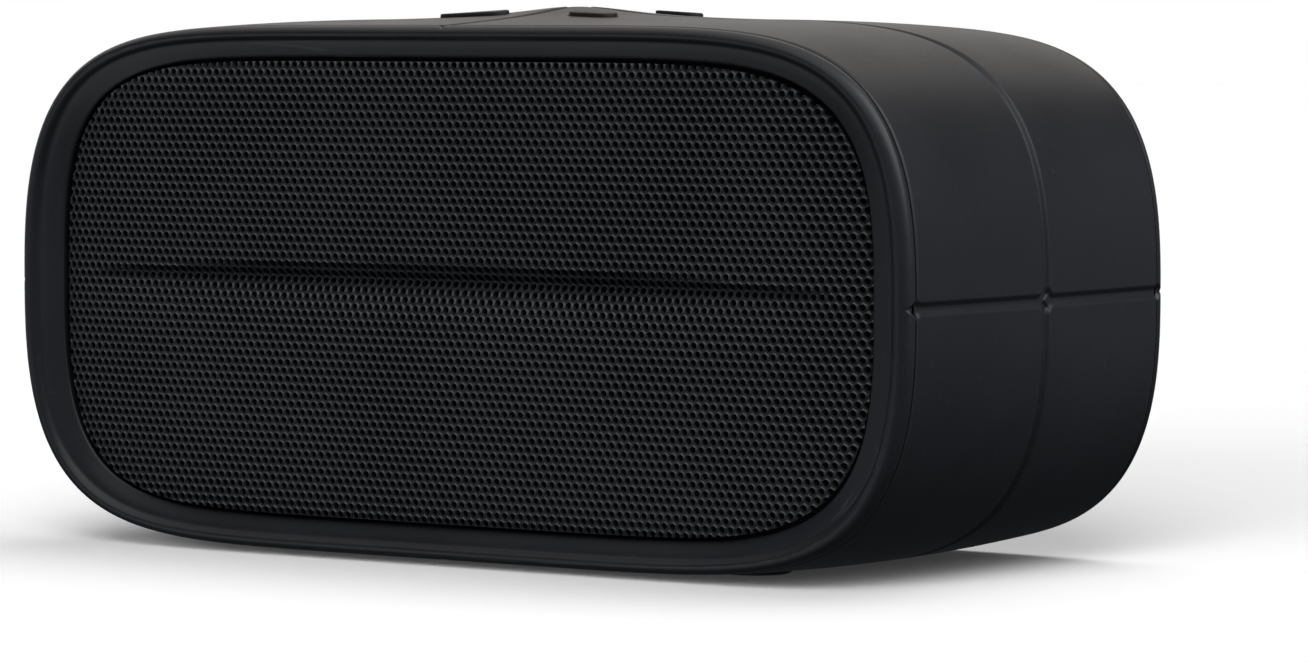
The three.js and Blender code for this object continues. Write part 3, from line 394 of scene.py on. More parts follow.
def grained(name, dark, light, roughness, grain, bump, edge_tint=None, **sockets):
    """Moulded rubber or plastic: soft blotches, a fine grain and slightly lighter edges."""
    n = Nodes(name)
    blotches = n.noise(35.0, 4.0)
    fine = n.noise(grain, 3.0, 0.6)
    colour = n.mixed(n.spread(blotches, 0.0, 1.0, 0.35, 0.65), dark, light)
    dust = n.spread(n.noise(700.0, 2.0, 0.5), 0.0, 0.5, 0.66, 0.8)
    colour = n.mixed(dust, colour, tuple(min(1.0, 3.0 * v) for v in light))
    # Sharp outward edges, found by pointiness, take a lighter colour.
    if edge_tint:
        colour = n.mixed(n.edge(0.52, 0.58), colour, edge_tint)
    rough = n.spread(n.combined(blotches, fine), roughness - 0.06, roughness + 0.06, 0.1, 0.45)
    normal = n.bump(fine, bump, 0.00006)
    return n.done(colour, rough, normal, **sockets)


def brushed(name, dark, light, roughness, stretch, metallic=1.0):
    """Metal with streaks along one direction."""
    n = Nodes(name)
    streaks = n.noise(900.0, 4.0, 0.6, n.stretched(stretch))
    stains = n.noise(60.0, 4.0)
    colour = n.mixed(n.spread(stains, 0.0, 1.0, 0.3, 0.7), dark, light)
    rough = n.spread(streaks, roughness - 0.08, roughness + 0.1, 0.3, 0.7)
    return n.done(colour, rough, n.bump(streaks, 0.25, 0.00003), metallic)


def cloth_material():
    n = Nodes("acoustic_cloth")
    weave = n.combined(n.waves(900.0, "X"), n.waves(900.0, "Z"), "ADD")
    colour = n.mixed(n.spread(weave, 0.0, 1.0, 0.0, 2.0), (0.002, 0.002, 0.002), (0.006, 0.006, 0.006))
    rough = n.spread(n.noise(300.0), 0.85, 1.0)
    return n.done(colour, rough, n.bump(weave, 0.6, 0.0001))


def board_material():
    n = Nodes("circuit_board")
    tracks = n.cells(420.0)
    mask = n.spread(tracks, 0.0, 1.0, 0.28, 0.32)
    colour = n.mixed(mask, (0.035, 0.16, 0.075), (0.015, 0.075, 0.035))
    pads = n.spread(n.cells(160.0), 1.0, 0.0, 0.08, 0.1)
    colour = n.mixed(pads, colour, (0.62, 0.48, 0.2))
    rough = n.spread(n.noise(120.0), 0.28, 0.42)
    return n.done(colour, rough, n.bump(tracks, 0.2, 0.00004))


def paper_material():
    n = Nodes("cone_paper")
    fibres = n.noise(1400.0, 5.0, 0.7, n.stretched((1.0, 0.4, 1.0)))
    colour = n.mixed(n.spread(fibres, 0.0, 1.0, 0.35, 0.65), (0.006, 0.006, 0.006), (0.02, 0.02, 0.019))
    rough = n.spread(fibres, 0.75, 0.95)
    return n.done(colour, rough, n.bump(fibres, 0.6, 0.0001))


def coil_material():
    n = Nodes("coil_winding")
    turns = n.waves(2600.0, "Y")
    colour = n.mixed(turns, (0.30, 0.12, 0.05), (0.75, 0.36, 0.17))
    rough = n.spread(n.noise(200.0), 0.25, 0.4)
    return n.done(colour, rough, n.bump(turns, 0.8, 0.0001), 1.0)


def ferrite_material():
    n = Nodes("ferrite")
    grit = n.noise(1800.0, 4.0, 0.7)
    colour = n.mixed(n.spread(grit, 0.0, 1.0, 0.35, 0.65), (0.018, 0.018, 0.019), (0.05, 0.05, 0.052))
    rough = n.spread(grit, 0.45, 0.65)
    return n.done(colour, rough, n.bump(grit, 0.4, 0.00005), 0.3)


def wrap_material():
    n = Nodes("cell_wrap")
    folds = n.noise(90.0, 3.0, 0.5, n.stretched((0.2, 1.0, 1.0)))
    colour = n.mixed(n.spread(folds, 0.0, 1.0, 0.35, 0.65), (0.015, 0.06, 0.17), (0.03, 0.11, 0.28))
    rough = n.spread(folds, 0.22, 0.36)
    return n.done(colour, rough, n.bump(folds, 0.2, 0.0002))


def lens_material():
    n = Nodes("light_pipe")
    haze = n.noise(500.0, 3.0)
    colour = n.mixed(n.spread(haze, 0.0, 1.0, 0.3, 0.7), (0.62, 0.66, 0.68), (0.78, 0.82, 0.84))
    rough = n.spread(haze, 0.08, 0.2)
    return n.done(colour, rough, n.bump(haze, 0.1, 0.00003), Transmission_Weight=0.4, IOR=1.49)


def grille_material():
    n = Nodes("grille_paint")
    speckle = n.noise(2400.0, 3.0, 0.6)
    patches = n.noise(28.0, 3.0)
    share = n.spread(patches, 0.0, 1.0, 0.35, 0.65)
    colour = n.mixed(share, (0.0215, 0.0225, 0.0255), (0.0305, 0.0315, 0.0355))
    rough = n.spread(n.combined(patches, speckle), 0.36, 0.5, 0.1, 0.4)
    return n.done(colour, rough, n.bump(speckle, 0.25, 0.00003), Specular_IOR_Level=0.6)


MATERIALS = {
    "sleeve_rubber": grained("sleeve_rubber", (0.0085, 0.0088, 0.0110), (0.0115, 0.0118, 0.0145), 0.5, 2600.0,
                             0.35, (0.03, 0.03, 0.032), Specular_IOR_Level=0.35),
    "key_rubber": grained("key_rubber", (0.006, 0.006, 0.0065), (0.009, 0.009, 0.0095), 0.55, 2600.0, 0.3,
                          (0.02, 0.02, 0.02), Specular_IOR_Level=0.3),
    "foot_rubber": grained("foot_rubber", (0.006, 0.006, 0.006), (0.01, 0.01, 0.01), 0.8, 1500.0, 0.5),
    "bezel_plastic": grained("bezel_plastic", (0.0095, 0.0098, 0.0122), (0.0125, 0.0128, 0.0156), 0.42,
                             3200.0, 0.2, (0.035, 0.035, 0.037), Specular_IOR_Level=0.4),
    "grille_metal": grille_material(),
    "cloth": cloth_material(),
    "inner_plastic": grained("inner_plastic", (0.01, 0.01, 0.011), (0.016, 0.016, 0.017), 0.5, 1800.0, 0.3),
    "driver_steel": brushed("driver_steel", (0.30, 0.31, 0.33), (0.42, 0.43, 0.45), 0.34, (1.0, 0.05, 1.0)),
    "magnet_ferrite": ferrite_material(),
    "cone_paper": paper_material(),
    "surround_rubber": grained("surround_rubber", (0.006, 0.006, 0.006), (0.009, 0.009, 0.009), 0.45, 2000.0,
                               0.2),
    "coil_copper": coil_material(),
    "board_green": board_material(),
    "chip_black": grained("chip_black", (0.008, 0.008, 0.0085), (0.014, 0.014, 0.015), 0.45, 2400.0, 0.25),
    "socket_metal": brushed("socket_metal", (0.5, 0.51, 0.53), (0.62, 0.63, 0.65), 0.26, (0.1, 1.0, 1.0)),
    "cell_wrap": wrap_material(),
    "screw_steel": brushed("screw_steel", (0.07, 0.07, 0.075), (0.12, 0.12, 0.125), 0.36, (1.0, 1.0, 0.1)),
    "lens_clear": lens_material(),
}


# ---------------------------------------------------------------- sleeve and bezels
AROUND = round_angles(1.35, 0.17, 2.4)


def groove_depth(line, line_depth, y):
    """How deep the surface lies below the pads, from the distances to the grooves' middle lines."""
    across = np.abs(y)
    to_line = line - LINE_HALF
    to_seam = across - SEAM_HALF
    to_end = PARTING_Y - across + LIP
    to_side = np.minimum(to_seam, to_end)
    both = (to_line < PAD_CORNER) & (to_side < PAD_CORNER)
    corner = PAD_CORNER - np.hypot(PAD_CORNER - to_line, PAD_CORNER - to_side)
    edge = np.where(both, corner, np.minimum(to_line, to_side))
    depth = np.where(to_seam < to_line, SEAM_DEPTH, line_depth)
    return depth * (1 - smooth_step((edge + LIP) / (2 * LIP)))


# Across its depth the sleeve's points lie fine apart at the seam and the ends, and coarse apart between.
FINE_STEP, COARSE_STEP = 0.17, 1.42
FINE_REACH, STEP_BLEND = 2.2, 2.5
LIP_FILLET, LIP_FILLET_REACH = 0.22, 0.3
DOME_FROM, DOME_BLEND = 30.0, 12.0


def sleeve_grid():
    def step_at(place):
        near = np.minimum(np.abs(place), SLEEVE_END - np.abs(place))
        return FINE_STEP + (COARSE_STEP - FINE_STEP) * smooth_step((near - FINE_REACH) / STEP_BLEND)

    depths = spaced(np.linspace(-SLEEVE_END, SLEEVE_END, 4001), step_at)
    base, normal = BODY.points(AROUND), BODY.normals(AROUND)
    x, z = base[:, :1], base[:, 1:]
    y = depths[None, :]
    fillet = LIP_FILLET * (1 - smooth_step((SLEEVE_END - np.abs(y)) / LIP_FILLET_REACH))
    line_depth = np.where(np.abs(x) > SIDE_SHARE * HALF_WIDTH, END_LINE_DEPTH, TOP_LINE_DEPTH)
    out = crown_at(y) - groove_depth(line_distance(x, z), line_depth, y) - fillet
    px, pz = x + normal[:, :1] * out, z + normal[:, 1:] * out
    rise = dome_at(px, y) * smooth_step((pz - DOME_FROM) / DOME_BLEND)
    outer = np.stack([px, np.broadcast_to(y, px.shape), CENTRE_Z + pz + rise], -1)
    inner = BODY.points(AROUND, SLEEVE_WALL)
    back = [np.stack([inner[:, 0], np.full(len(inner), place), CENTRE_Z + inner[:, 1]], -1)[:, None]
            for place in (SLEEVE_END, SLEEVE_END / 2, 0.0, -SLEEVE_END / 2, -SLEEVE_END)]
    return np.concatenate([outer, *back], 1)


KEYS = ["power_key", "play_key", "volume_down_key", "volume_up_key"]
KEY_GAP = 0.25
CUT_FROM, CUT_PAST = 35.0, 5.0
FOOT_GAP, FOOT_CUT_BELOW, FOOT_CUT_ABOVE = 0.25, 2.0, 0.3


def key_prism(node, grow, low, high, name):
    """A tall bar on a key's outline, to cut its opening."""
    near, far = box_mm(node)
    middle = (near + far) / 2
    outline = pill(far[0] - near[0] + 2 * grow, far[1] - near[1] + 2 * grow) + middle[:2]
    return loft(name, [[(*point, height) for point in outline] for height in (low, high)])


def make_sleeve():
    piece = ring_piece("rubber_sleeve", sleeve_grid(), smooth=60.0)
    top = sleeve_high[2]
    cutters = [key_prism(node, KEY_GAP, CENTRE_Z + CUT_FROM, top + CUT_PAST, f"cut_{node}") for node in KEYS]
    for node in FEET:
        near, far = box_mm(node)
        low, high = near[2] - FOOT_CUT_BELOW, far[2] + FOOT_CUT_ABOVE
        cutters.append(disc(f"cut_{node}", near, far, FOOT_GAP, low, high))
    carve(piece, cutters)
    piece.data.shade_smooth()
    piece.data.set_sharp_from_angle(angle=math.radians(50))
    return stand_in(piece, "body", ["outer_sleeve"], MATERIALS["sleeve_rubber"])


FEET = ["foot_front_left", "foot_front_right", "foot_rear_left", "foot_rear_right"]


def disc(name, near, far, grow, low, high, sides=48):
    """A short round bar standing on the middle of a node's box."""
    middle, radius = (near + far) / 2, (far[0] - near[0]) / 2 + grow
    turn = np.linspace(0, 2 * math.pi, sides, endpoint=False)
    circle = np.stack([middle[0] + radius * np.cos(turn), middle[1] + radius * np.sin(turn)], -1)
    return loft(name, [[(*point, height) for point in circle] for height in (low, high)])


# The bezel's section: share of the way in from the body's outline to the opening, and depth.
# Beside the sleeve the bezel's side is tucked in, so that the sleeve's lip stands proud of it.
JOINT = PARTING_Y + 0.2
JOINT_TUCK, JOINT_RISE = 0.24, 1.0
# Each long groove of the sleeve runs on into the bezel's side as a notch that narrows and fades.
NOTCH_FADE, NOTCH_FLOOR, NOTCH_EDGE, NOTCH_FLANK = 2.6, 0.35, 0.15, 1.1
NOTCH_SHARE, NOTCH_INSET = 0.3, 0.5
OUTER_SHARE = 0.5
BEZEL_SECTION = [
    (0.0, JOINT), (0.0, JOINT), (0.0, JOINT + 0.5), (0.0, BEZEL_FRONT - 1.9), (0.02, BEZEL_FRONT - 1.35),
    (0.06, BEZEL_FRONT - 0.85), (0.12, BEZEL_FRONT - 0.42), (0.2, BEZEL_FRONT - 0.1), (0.27, BEZEL_FRONT),
    (0.33, BEZEL_FRONT - 0.15), (0.39, BEZEL_FRONT - 0.48), (0.44, BEZEL_FRONT - 0.84),
    (0.5, BEZEL_FRONT - 1.06), (0.58, BEZEL_FRONT - 1.2),
    (0.7, BEZEL_FRONT - 1.52),
    (0.85, BEZEL_FRONT - 2.0), (0.96, BEZEL_FRONT - 2.35), (1.0, BEZEL_FRONT - 2.6), (1.0, BEZEL_FRONT - 3.1),
    (1.0, BEZEL_INNER_BACK), (1.0, BEZEL_INNER_BACK),
]
BEZEL_BACK_SECTION = [
    (HOUSING_INNER, BEZEL_INNER_BACK), (HOUSING_INNER, TONGUE_BACK), (HOUSING_INNER, TONGUE_BACK),
    (HOUSING_OUTER, TONGUE_BACK), (HOUSING_OUTER, TONGUE_BACK),
    (HOUSING_OUTER, JOINT), (HOUSING_OUTER, JOINT),
]


def bezel_piece(name, side, node):
    body, opening, normal = BODY.points(AROUND), OPENING.points(AROUND), BODY.normals(AROUND)
    tuck = [JOINT_TUCK * (1 - smooth_step((depth - JOINT) / JOINT_RISE)) if share < OUTER_SHARE else 0.0
            for share, depth in BEZEL_SECTION]
    shares = [(share, inset, depth) for inset, (share, depth) in zip(tuck, BEZEL_SECTION, strict=True)]
    insets = [(0.0, inset, depth) for inset, depth in BEZEL_BACK_SECTION]
    loop = rounded_loop(shares + insets)
    share, inset, depth = loop[:, 0][None], loop[:, 1][None], loop[:, 2][None]
    x = body[:, :1] + (opening[:, :1] - body[:, :1]) * share - normal[:, :1] * inset
    z = body[:, 1:] + (opening[:, 1:] - body[:, 1:]) * share - normal[:, 1:] * inset
    forward = depth - PARTING_Y
    taper = smooth_step(1 - forward / NOTCH_FADE)
    line = line_distance(body[:, :1], body[:, 1:])
    flank = (line - NOTCH_FLOOR * taper) / (NOTCH_EDGE + NOTCH_FLANK * taper)
    notch = TOP_LINE_DEPTH * taper * (1 - smooth_step(flank))
    notch = np.where((share < NOTCH_SHARE) & (inset < NOTCH_INSET), notch, 0.0)
    x, z = x - normal[:, :1] * notch, z - normal[:, 1:] * notch
    grid = np.stack([x, np.broadcast_to(side * depth, x.shape), CENTRE_Z + z], -1)
    piece = ring_piece(name, grid, smooth=40.0)
    return stand_in(piece, "body", [node], MATERIALS["bezel_plastic"])


# ---------------------------------------------------------------- grille
def crease_at(x, z):
    """How far the crease sets the grille back."""
    share = np.clip(1 - (np.abs(x) / CREASE_HALF_LENGTH) ** CREASE_POWER, 0, 1)
    above = z - CREASE_Z
    lower = np.exp(np.minimum(above, 0) / CREASE_FADE)
    upper = np.clip(1 - above / np.maximum(share * CREASE_FLANK, 1e-6), 0, 1)
    soft = upper * upper * (1 + CREASE_EASE - CREASE_EASE * upper)
    flank = CREASE_EASED * soft + (1 - CREASE_EASED) * upper
    return share * CREASE_DEPTH * np.where(above < 0, lower, flank)


def grille_depth(x, z):
    """The grille's front surface: distance forward of the middle of the body's depth."""
    ratio = (np.abs(x) / SHEET.a) ** SHEET.n + (np.abs(z) / SHEET.b) ** SHEET.m
    to_edge = (1 - np.maximum(ratio, 1e-9) ** (1 / SHEET.m)) * SHEET.b
    roll = ROLL_DROP * np.clip(1 - to_edge / ROLL, 0, 1) ** 2
    ends = END_DROP * (np.maximum(np.abs(x) - END_START, 0) / (SHEET.a - END_START)) ** 2
    return GRILLE_FACE - roll - ends - crease_at(x, z)


LATTICE_MARGIN = 1.6


def lattice():
    """Centres of the holes in staggered rows that cover the opening and a little more."""
    row_step = PITCH * math.sqrt(3) / 2
    rows = int(OPENING_HALF_HEIGHT / row_step) + 2
    columns = int(OPENING_HALF_WIDTH / PITCH) + 2
    centres = [((i + 0.5 * (j % 2)) * PITCH, j * row_step)
               for j in range(-rows, rows + 1) for i in range(-columns, columns + 1)]
    return np.array([c for c in centres if OPENING.holds(c[0], c[1], -LATTICE_MARGIN)])


def grille_flat():
    """The perforated sheet before it is bent: one six-sided cell with a round hole round each centre."""
    centres = lattice()
    count = len(centres)
    turn = np.radians(30 + 60 * np.arange(6))
    corners = np.stack([np.cos(turn), np.sin(turn)], -1) * PITCH / math.sqrt(3)
    turn = 2 * math.pi * np.arange(HOLE_SIDES) / HOLE_SIDES + math.radians(30)
    hole = np.stack([np.cos(turn), np.sin(turn)], -1) * HOLE_RADIUS
    corner_points = (centres[:, None] + corners[None]).reshape(-1, 2)
    keys = np.round(corner_points / (PITCH / 2, PITCH / (2 * math.sqrt(3)))).astype(np.int64)
    merged, shared = np.unique(keys, axis=0, return_inverse=True)
    shared = shared.reshape(count, 6)
    corner_flat = np.zeros((len(merged), 2))
    corner_flat[shared.ravel()] = corner_points
    hole_flat = (centres[:, None] + hole[None]).reshape(-1, 2)
    flat = np.concatenate([corner_flat, hole_flat])
    layer = len(flat)
    first = len(corner_flat) + np.arange(count)[:, None] * HOLE_SIDES
    per = HOLE_SIDES // 6
    faces = []
    for k in range(6):
        a, b = shared[:, k], shared[:, (k + 1) % 6]
        ring = [first[:, 0] + (k * per + s) % HOLE_SIDES for s in range(per + 1)]
        front = np.stack([a, b, *reversed(ring)], -1)
        faces.append(front)
        faces.append(front[:, ::-1] + layer)
    walls = []
    for k in range(HOLE_SIDES):
        a, b = first[:, 0] + k, first[:, 0] + (k + 1) % HOLE_SIDES
        walls.append(np.stack([a, b, b + layer, a + layer], -1))
    sides = open_sides(np.concatenate(faces[::2]))
    rim = [[a, a + layer, b + layer, b] for a, b in sides]
    everything = [f.tolist() for f in faces + walls] + [rim]
    return flat, [face for group in everything for face in group], layer, len(corner_flat)


def open_sides(faces):
    """Edges that only one face uses, between the two cell corners that each face starts with."""
    edges = faces[:, :2]
    keys = np.sort(edges, axis=1)
    _, where, uses = np.unique(keys, axis=0, return_index=True, return_counts=True)
    return [tuple(edges[i]) for i, used in zip(where, uses, strict=True) if used == 1]


FLAT_HALF = SHEET_THICKNESS / 2
TRIM_STEPS, TRIM_REACH = 720, 3.0


def make_grille():
    flat, faces, layer, corner_count = grille_flat()
    front = np.stack([flat[:, 0], np.full(layer, -FLAT_HALF), flat[:, 1]], -1)
    back = np.stack([flat[:, 0], np.full(layer, FLAT_HALF), flat[:, 1]], -1)
    front[corner_count:, 1] -= RIM_RISE
    piece = new_piece("perforated_grille", np.concatenate([front, back]), faces, smooth=0)
    face_outward(piece)
    angle = np.linspace(0, 2 * math.pi, TRIM_STEPS, endpoint=False)
    trim = SHEET.points(angle)
    cutter = loft("trim", [[(x, y, z) for x, z in trim] for y in (-TRIM_REACH, TRIM_REACH)])
    carve(piece, [cutter], "INTERSECT")
    mesh = piece.data
    points = np.zeros(len(mesh.vertices) * 3)
    mesh.vertices.foreach_get("co", points)
    points = points.reshape(-1, 3) / MM
    x, side, z = points.T
    points[:, 1] = side + FLAT_HALF - grille_depth(x, z)
    points[:, 2] = z + CENTRE_Z
    mesh.vertices.foreach_set("co", (points * MM).ravel())
    mesh.update()
    mesh.shade_smooth()
    mesh.set_sharp_from_angle(angle=math.radians(40))
    return stand_in(piece, "body", ["front_grille"], MATERIALS["grille_metal"])


# ---------------------------------------------------------------- keys and feet
KEY_RISE, KEY_FILLET = 0.7, 0.32
PLUNGER_RADIUS, PLUNGER_GAP = 1.6, 0.5
KEY_TOP_INSETS = (0.7, 1.2, 1.8)


def make_key(node):
    near, far = box_mm(node)
    middle = (near + far) / 2
    length, width = far[0] - near[0], far[1] - near[1]
    around = 2 * (PILL_SEGMENTS + 1)
    turn = np.linspace(0, 2 * math.pi, around, endpoint=False) - math.pi / 2
    plunger = PLUNGER_RADIUS * np.stack([np.cos(turn), np.sin(turn)], -1) + middle[:2]
    foot = CENTRE_Z + HALF_HEIGHT - SLEEVE_WALL + PLUNGER_GAP

    def ring(inset):
        return pill(length - 2 * inset, width - 2 * inset) + middle[:2]

    rings = [np.column_stack([plunger, np.full(len(plunger), height)]) for height in (near[2], foot)]
    rings.append(np.column_stack([ring(0.0), np.full(around, foot)]))
    for turned in np.linspace(0, math.pi / 2, 6):
        points = ring(KEY_FILLET * (1 - math.cos(turned)))
        top = top_at(points[:, 0], points[:, 1]) + KEY_RISE - KEY_FILLET * (1 - math.sin(turned))
        rings.append(np.column_stack([points, top]))
    for inset in KEY_TOP_INSETS:
        points = ring(inset)
        top = top_at(points[:, 0], points[:, 1]) + KEY_RISE
        rings.append(np.column_stack([points, top]))
    piece = loft(f"{node}_cap", rings, smooth=50.0)
    return stand_in(piece, node, [node], MATERIALS["key_rubber"])


FOOT_SIDES = 64


def make_foot(node):
    near, far = box_mm(node)
    middle, radius = (near + far) / 2, (far[0] - near[0]) / 2
    turn = np.linspace(0, 2 * math.pi, FOOT_SIDES, endpoint=False)
    # A pad with a rounded edge and a shallow ring groove in its sole.
    profile = [(radius, far[2]), (radius, near[2] + 0.5), (radius - 0.15, near[2] + 0.15),
               (radius - 0.5, near[2]), (radius - 1.3, near[2]), (radius - 1.5, near[2] + 0.3),
               (radius - 2.1, near[2] + 0.3), (radius - 2.3, near[2]), (0.6, near[2])]
    rings = [[(middle[0] + r * math.cos(a), middle[1] + r * math.sin(a), height) for a in turn]
             for r, height in profile]
    piece = loft(f"{node}_pad", rings, smooth=40.0)
    return stand_in(piece, "body", [node], MATERIALS["foot_rubber"])


# ---------------------------------------------------------------- rear
# A face whose normal's second part is at least this looks straight back or forward.
STRAIGHT_BACK = 0.9995
# A rounded rim: inset and drop, as shares of its size.
EDGE = [(1.0, 0.0), (0.45, 0.08), (0.1, 0.3), (0.0, 0.7)]
CUT_THROUGH = 1.0


def upright(outline_at, section):
    """Rings of points for a section of insets and depths, by the outline at each inset."""
    rings = []
    for inset, depth in section:
        outline = outline_at(inset)
        rings.append(np.column_stack([outline[:, 0], np.full(len(outline), depth), CENTRE_Z + outline[:, 1]]))
    return rings


def edged(outline_at, back, front, edge, name):
    """A slab between two depths with a rounded rim on the back face: outline_at(inset) gives its outline."""
    rim = [(edge * inset, back - edge * drop) for inset, drop in reversed(EDGE)]
    return loft(name, upright(outline_at, [(0.0, front), *rim]))


def settle_shading(piece):
    """Smooth shading after a cut, with the flat faces that look straight back and the sharp edges kept."""
    mesh = piece.data
    mesh.shade_smooth()
    mesh.set_sharp_from_angle(angle=math.radians(35))
    normals = np.empty(len(mesh.polygons) * 3)
    mesh.polygons.foreach_get("normal", normals)
    mesh.polygons.foreach_set("use_smooth", np.abs(normals[1::3]) < STRAIGHT_BACK)


def flared(outline_at, back, front, flare, name):
    """A cutter for a hole with a broken edge on the back face: outline_at(inset) gives the hole."""
    section = [(0.0, front), (0.0, back - flare), (-flare, back), (-flare, back + 3 * CUT_THROUGH)]
    return loft(name, upright(outline_at, section))


def round_of(radius, middle, sides=40):
    """A circle about a point, by inset."""
    turn = np.linspace(0, 2 * math.pi, sides, endpoint=False)
    circle = np.stack([np.cos(turn), np.sin(turn)], -1)
    return lambda inset: circle * (radius - inset) + middle


def oval_of(node, segments=40):
    """The long oval outline of a node, by inset, as points in x and height above the middle."""
    near, far = box_mm(node)
    middle = (near + far) / 2 - (0, 0, CENTRE_Z)

    def outline_at(inset):
        return pill(far[0] - near[0] - 2 * inset, far[2] - near[2] - 2 * inset, segments) + middle[[0, 2]]

    return outline_at


def slab_of(node, corner, grow=0.0):
    """The rounded-rectangle outline of a node, by inset."""
    near, far = box_mm(node)
    middle = (near + far) / 2 - (0, 0, CENTRE_Z)
    half = (far - near)[[0, 2]] / 2 + grow
    turn = np.linspace(0, math.pi / 2, 9)

    def outline_at(inset):
        radius = max(corner - inset, 0.2)
        arc = np.stack([half[0] - inset - radius + radius * np.cos(turn),
                        half[1] - inset - radius + radius * np.sin(turn)], -1)
        flipped = arc[::-1]
        return np.concatenate([arc, flipped * (-1, 1), -arc, flipped * (1, -1)]) + middle[[0, 2]]

    return outline_at


REAR_SCREWS = [f"rear_screw_{i}" for i in range(1, 7)]
PANEL_EDGE, PANEL_STEP, PANEL_GAP = 0.6, 2.0, 0.3
PANEL_FINE_REACH = 2.4
BAY_CORNER = 1.6
SEAT_GAP, SEAT_DEPTH, SCREW_HOLE, SEAT_FLARE = 0.3, 1.8, 1.6, 0.2
LIGHT_FLARE = 0.15


def make_rear_panel():
    near, far = box_mm("rear_panel")
    back, front = far[1], near[1]
    through = front - CUT_THROUGH
    angle = round_angles(PANEL_STEP, PANEL_STEP, PANEL_FINE_REACH)

    def panel_at(inset):
        return OPENING.points(angle, OPENING_GAP + inset)

    def hole_at(inset):
        return oval_of("radiator_surround")(inset - PANEL_GAP)

    piece = edged(panel_at, back, front, PANEL_EDGE, "rear_panel_moulding")
    cutters = [flared(hole_at, back, through, PANEL_GAP, "cut_oval"),
               flared(slab_of("port_flap", BAY_CORNER, PANEL_GAP), back, through, PANEL_GAP, "cut_bay"),
               flared(oval_of("status_light"), back, through, LIGHT_FLARE, "cut_light")]
    for node in REAR_SCREWS:
        low, high = box_mm(node)
        middle = ((low + high) / 2 - (0, 0, CENTRE_Z))[[0, 2]]
        seat = (high[0] - low[0]) / 2 + SEAT_GAP
        for radius, floor in ((seat, back - SEAT_DEPTH), (SCREW_HOLE, through)):
            cutters.append(flared(round_of(radius, middle), back, floor, SEAT_FLARE, f"cut_{node}"))
    carve(piece, cutters)
    settle_shading(piece)
    return stand_in(piece, "body", ["rear_panel"], MATERIALS["bezel_plastic"])


RADIATOR_SEGMENTS = 60
ROLL_MIDDLE, ROLL_RADIUS, ROLL_HEIGHT, ROLL_WALL = 5.0, 2.6, 1.7, 0.6
FLANGE_OUT, FLANGE_IN = 2.2, 7.8
FLANGE_DROP, FLANGE_WALL = 0.5, 0.5


def make_surround():
    """The radiator's rubber ring: a flange, a half roll and an inner flange, open underneath."""
    front = box_mm("radiator_surround")[0][1]
    panel = box_mm("rear_panel")[1][1]
    flange = panel - FLANGE_DROP
    turn = np.linspace(math.pi, 0, 13)
    inner = ROLL_RADIUS - ROLL_WALL
    top = [(ROLL_MIDDLE + ROLL_RADIUS * math.cos(a), flange + ROLL_HEIGHT * math.sin(a)) for a in turn]
    under = [(ROLL_MIDDLE + inner * math.cos(a), flange - FLANGE_WALL + (ROLL_HEIGHT - 0.2) * math.sin(a))
             for a in turn[::-1]]
    section = [(0.0, front), (0.0, flange - 0.4), (0.15, flange), (FLANGE_OUT, flange), *top,
               (FLANGE_IN, flange), (FLANGE_IN, flange - FLANGE_WALL), *under, (FLANGE_OUT, front)]
    rings = np.array(upright(oval_of("radiator_surround", RADIATOR_SEGMENTS), section))
    ring = ring_piece("radiator_half_roll", rings.transpose(1, 0, 2), smooth=50.0)
    stand_in(ring, "body", ["radiator_surround"], MATERIALS["surround_rubber"])


def make_radiator():
    """The radiator's plate, with a rounded rim and a dished face."""
    low, high = box_mm("radiator_plate")
    front, back = low[1], high[1]
    rim = [(0.0, back - 0.35), (0.1, back - 0.1), (0.35, back), (1.6, back)]
    dish = [(2.0, back - 0.15), (2.5, back - 0.45), (3.2, back - 0.5), (9.0, back - 0.5)]
    points = upright(oval_of("radiator_plate", RADIATOR_SEGMENTS), [(0.0, front), *rim, *dish])
    plate = loft("radiator_dished_plate", points, 30.0)
    stand_in(plate, "radiator", ["radiator_plate"], MATERIALS["bezel_plastic"])


FLAP_CORNER, FLAP_EDGE = 1.5, 0.5
NOTCH_HALF, NOTCH_DEPTH, NOTCH_ABOVE, NOTCH_SIDES = 4.2, 2.2, 1.0, 40
RIB_HALF, RIB_WIDTH, RIB_HEIGHTS = 3.0, 0.5, (1.2, 2.2, 3.2)


def make_flap():
    near, far = box_mm("port_flap")
    front, back = near[1], far[1]
    piece = edged(slab_of("port_flap", FLAP_CORNER), back, front, FLAP_EDGE, "port_flap_moulding")
    middle = (near + far) / 2
    turn = np.linspace(0, 2 * math.pi, NOTCH_SIDES, endpoint=False)
    # A finger notch in the upper edge that widens towards the back.
    notch = [np.column_stack([middle[0] + NOTCH_HALF * grow * np.cos(turn), np.full(NOTCH_SIDES, depth),
                              far[2] + NOTCH_ABOVE + NOTCH_DEPTH * grow * np.sin(turn)])
             for grow, depth in ((0.8, front - 1), (0.8, front + 0.6), (1.15, back + 0.5))]
    ribs = [box_cutter((middle[0] - RIB_HALF, middle[0] + RIB_HALF), (back - RIB_WIDTH / 2, back + 1),
                       (middle[2] + height - RIB_WIDTH / 2, middle[2] + height + RIB_WIDTH / 2))
            for height in RIB_HEIGHTS]
    carve(piece, [loft("cut_notch", notch), *ribs])
    settle_shading(piece)
    return stand_in(piece, "flap", ["port_flap"], MATERIALS["key_rubber"])


def box_cutter(x_span, y_span, z_span):
    (x0, x1), (z0, z1) = x_span, z_span
    ring = [(x0, z0), (x1, z0), (x1, z1), (x0, z1)]
    return loft("cut_box", [[(x, y, z) for x, z in ring] for y in y_span])


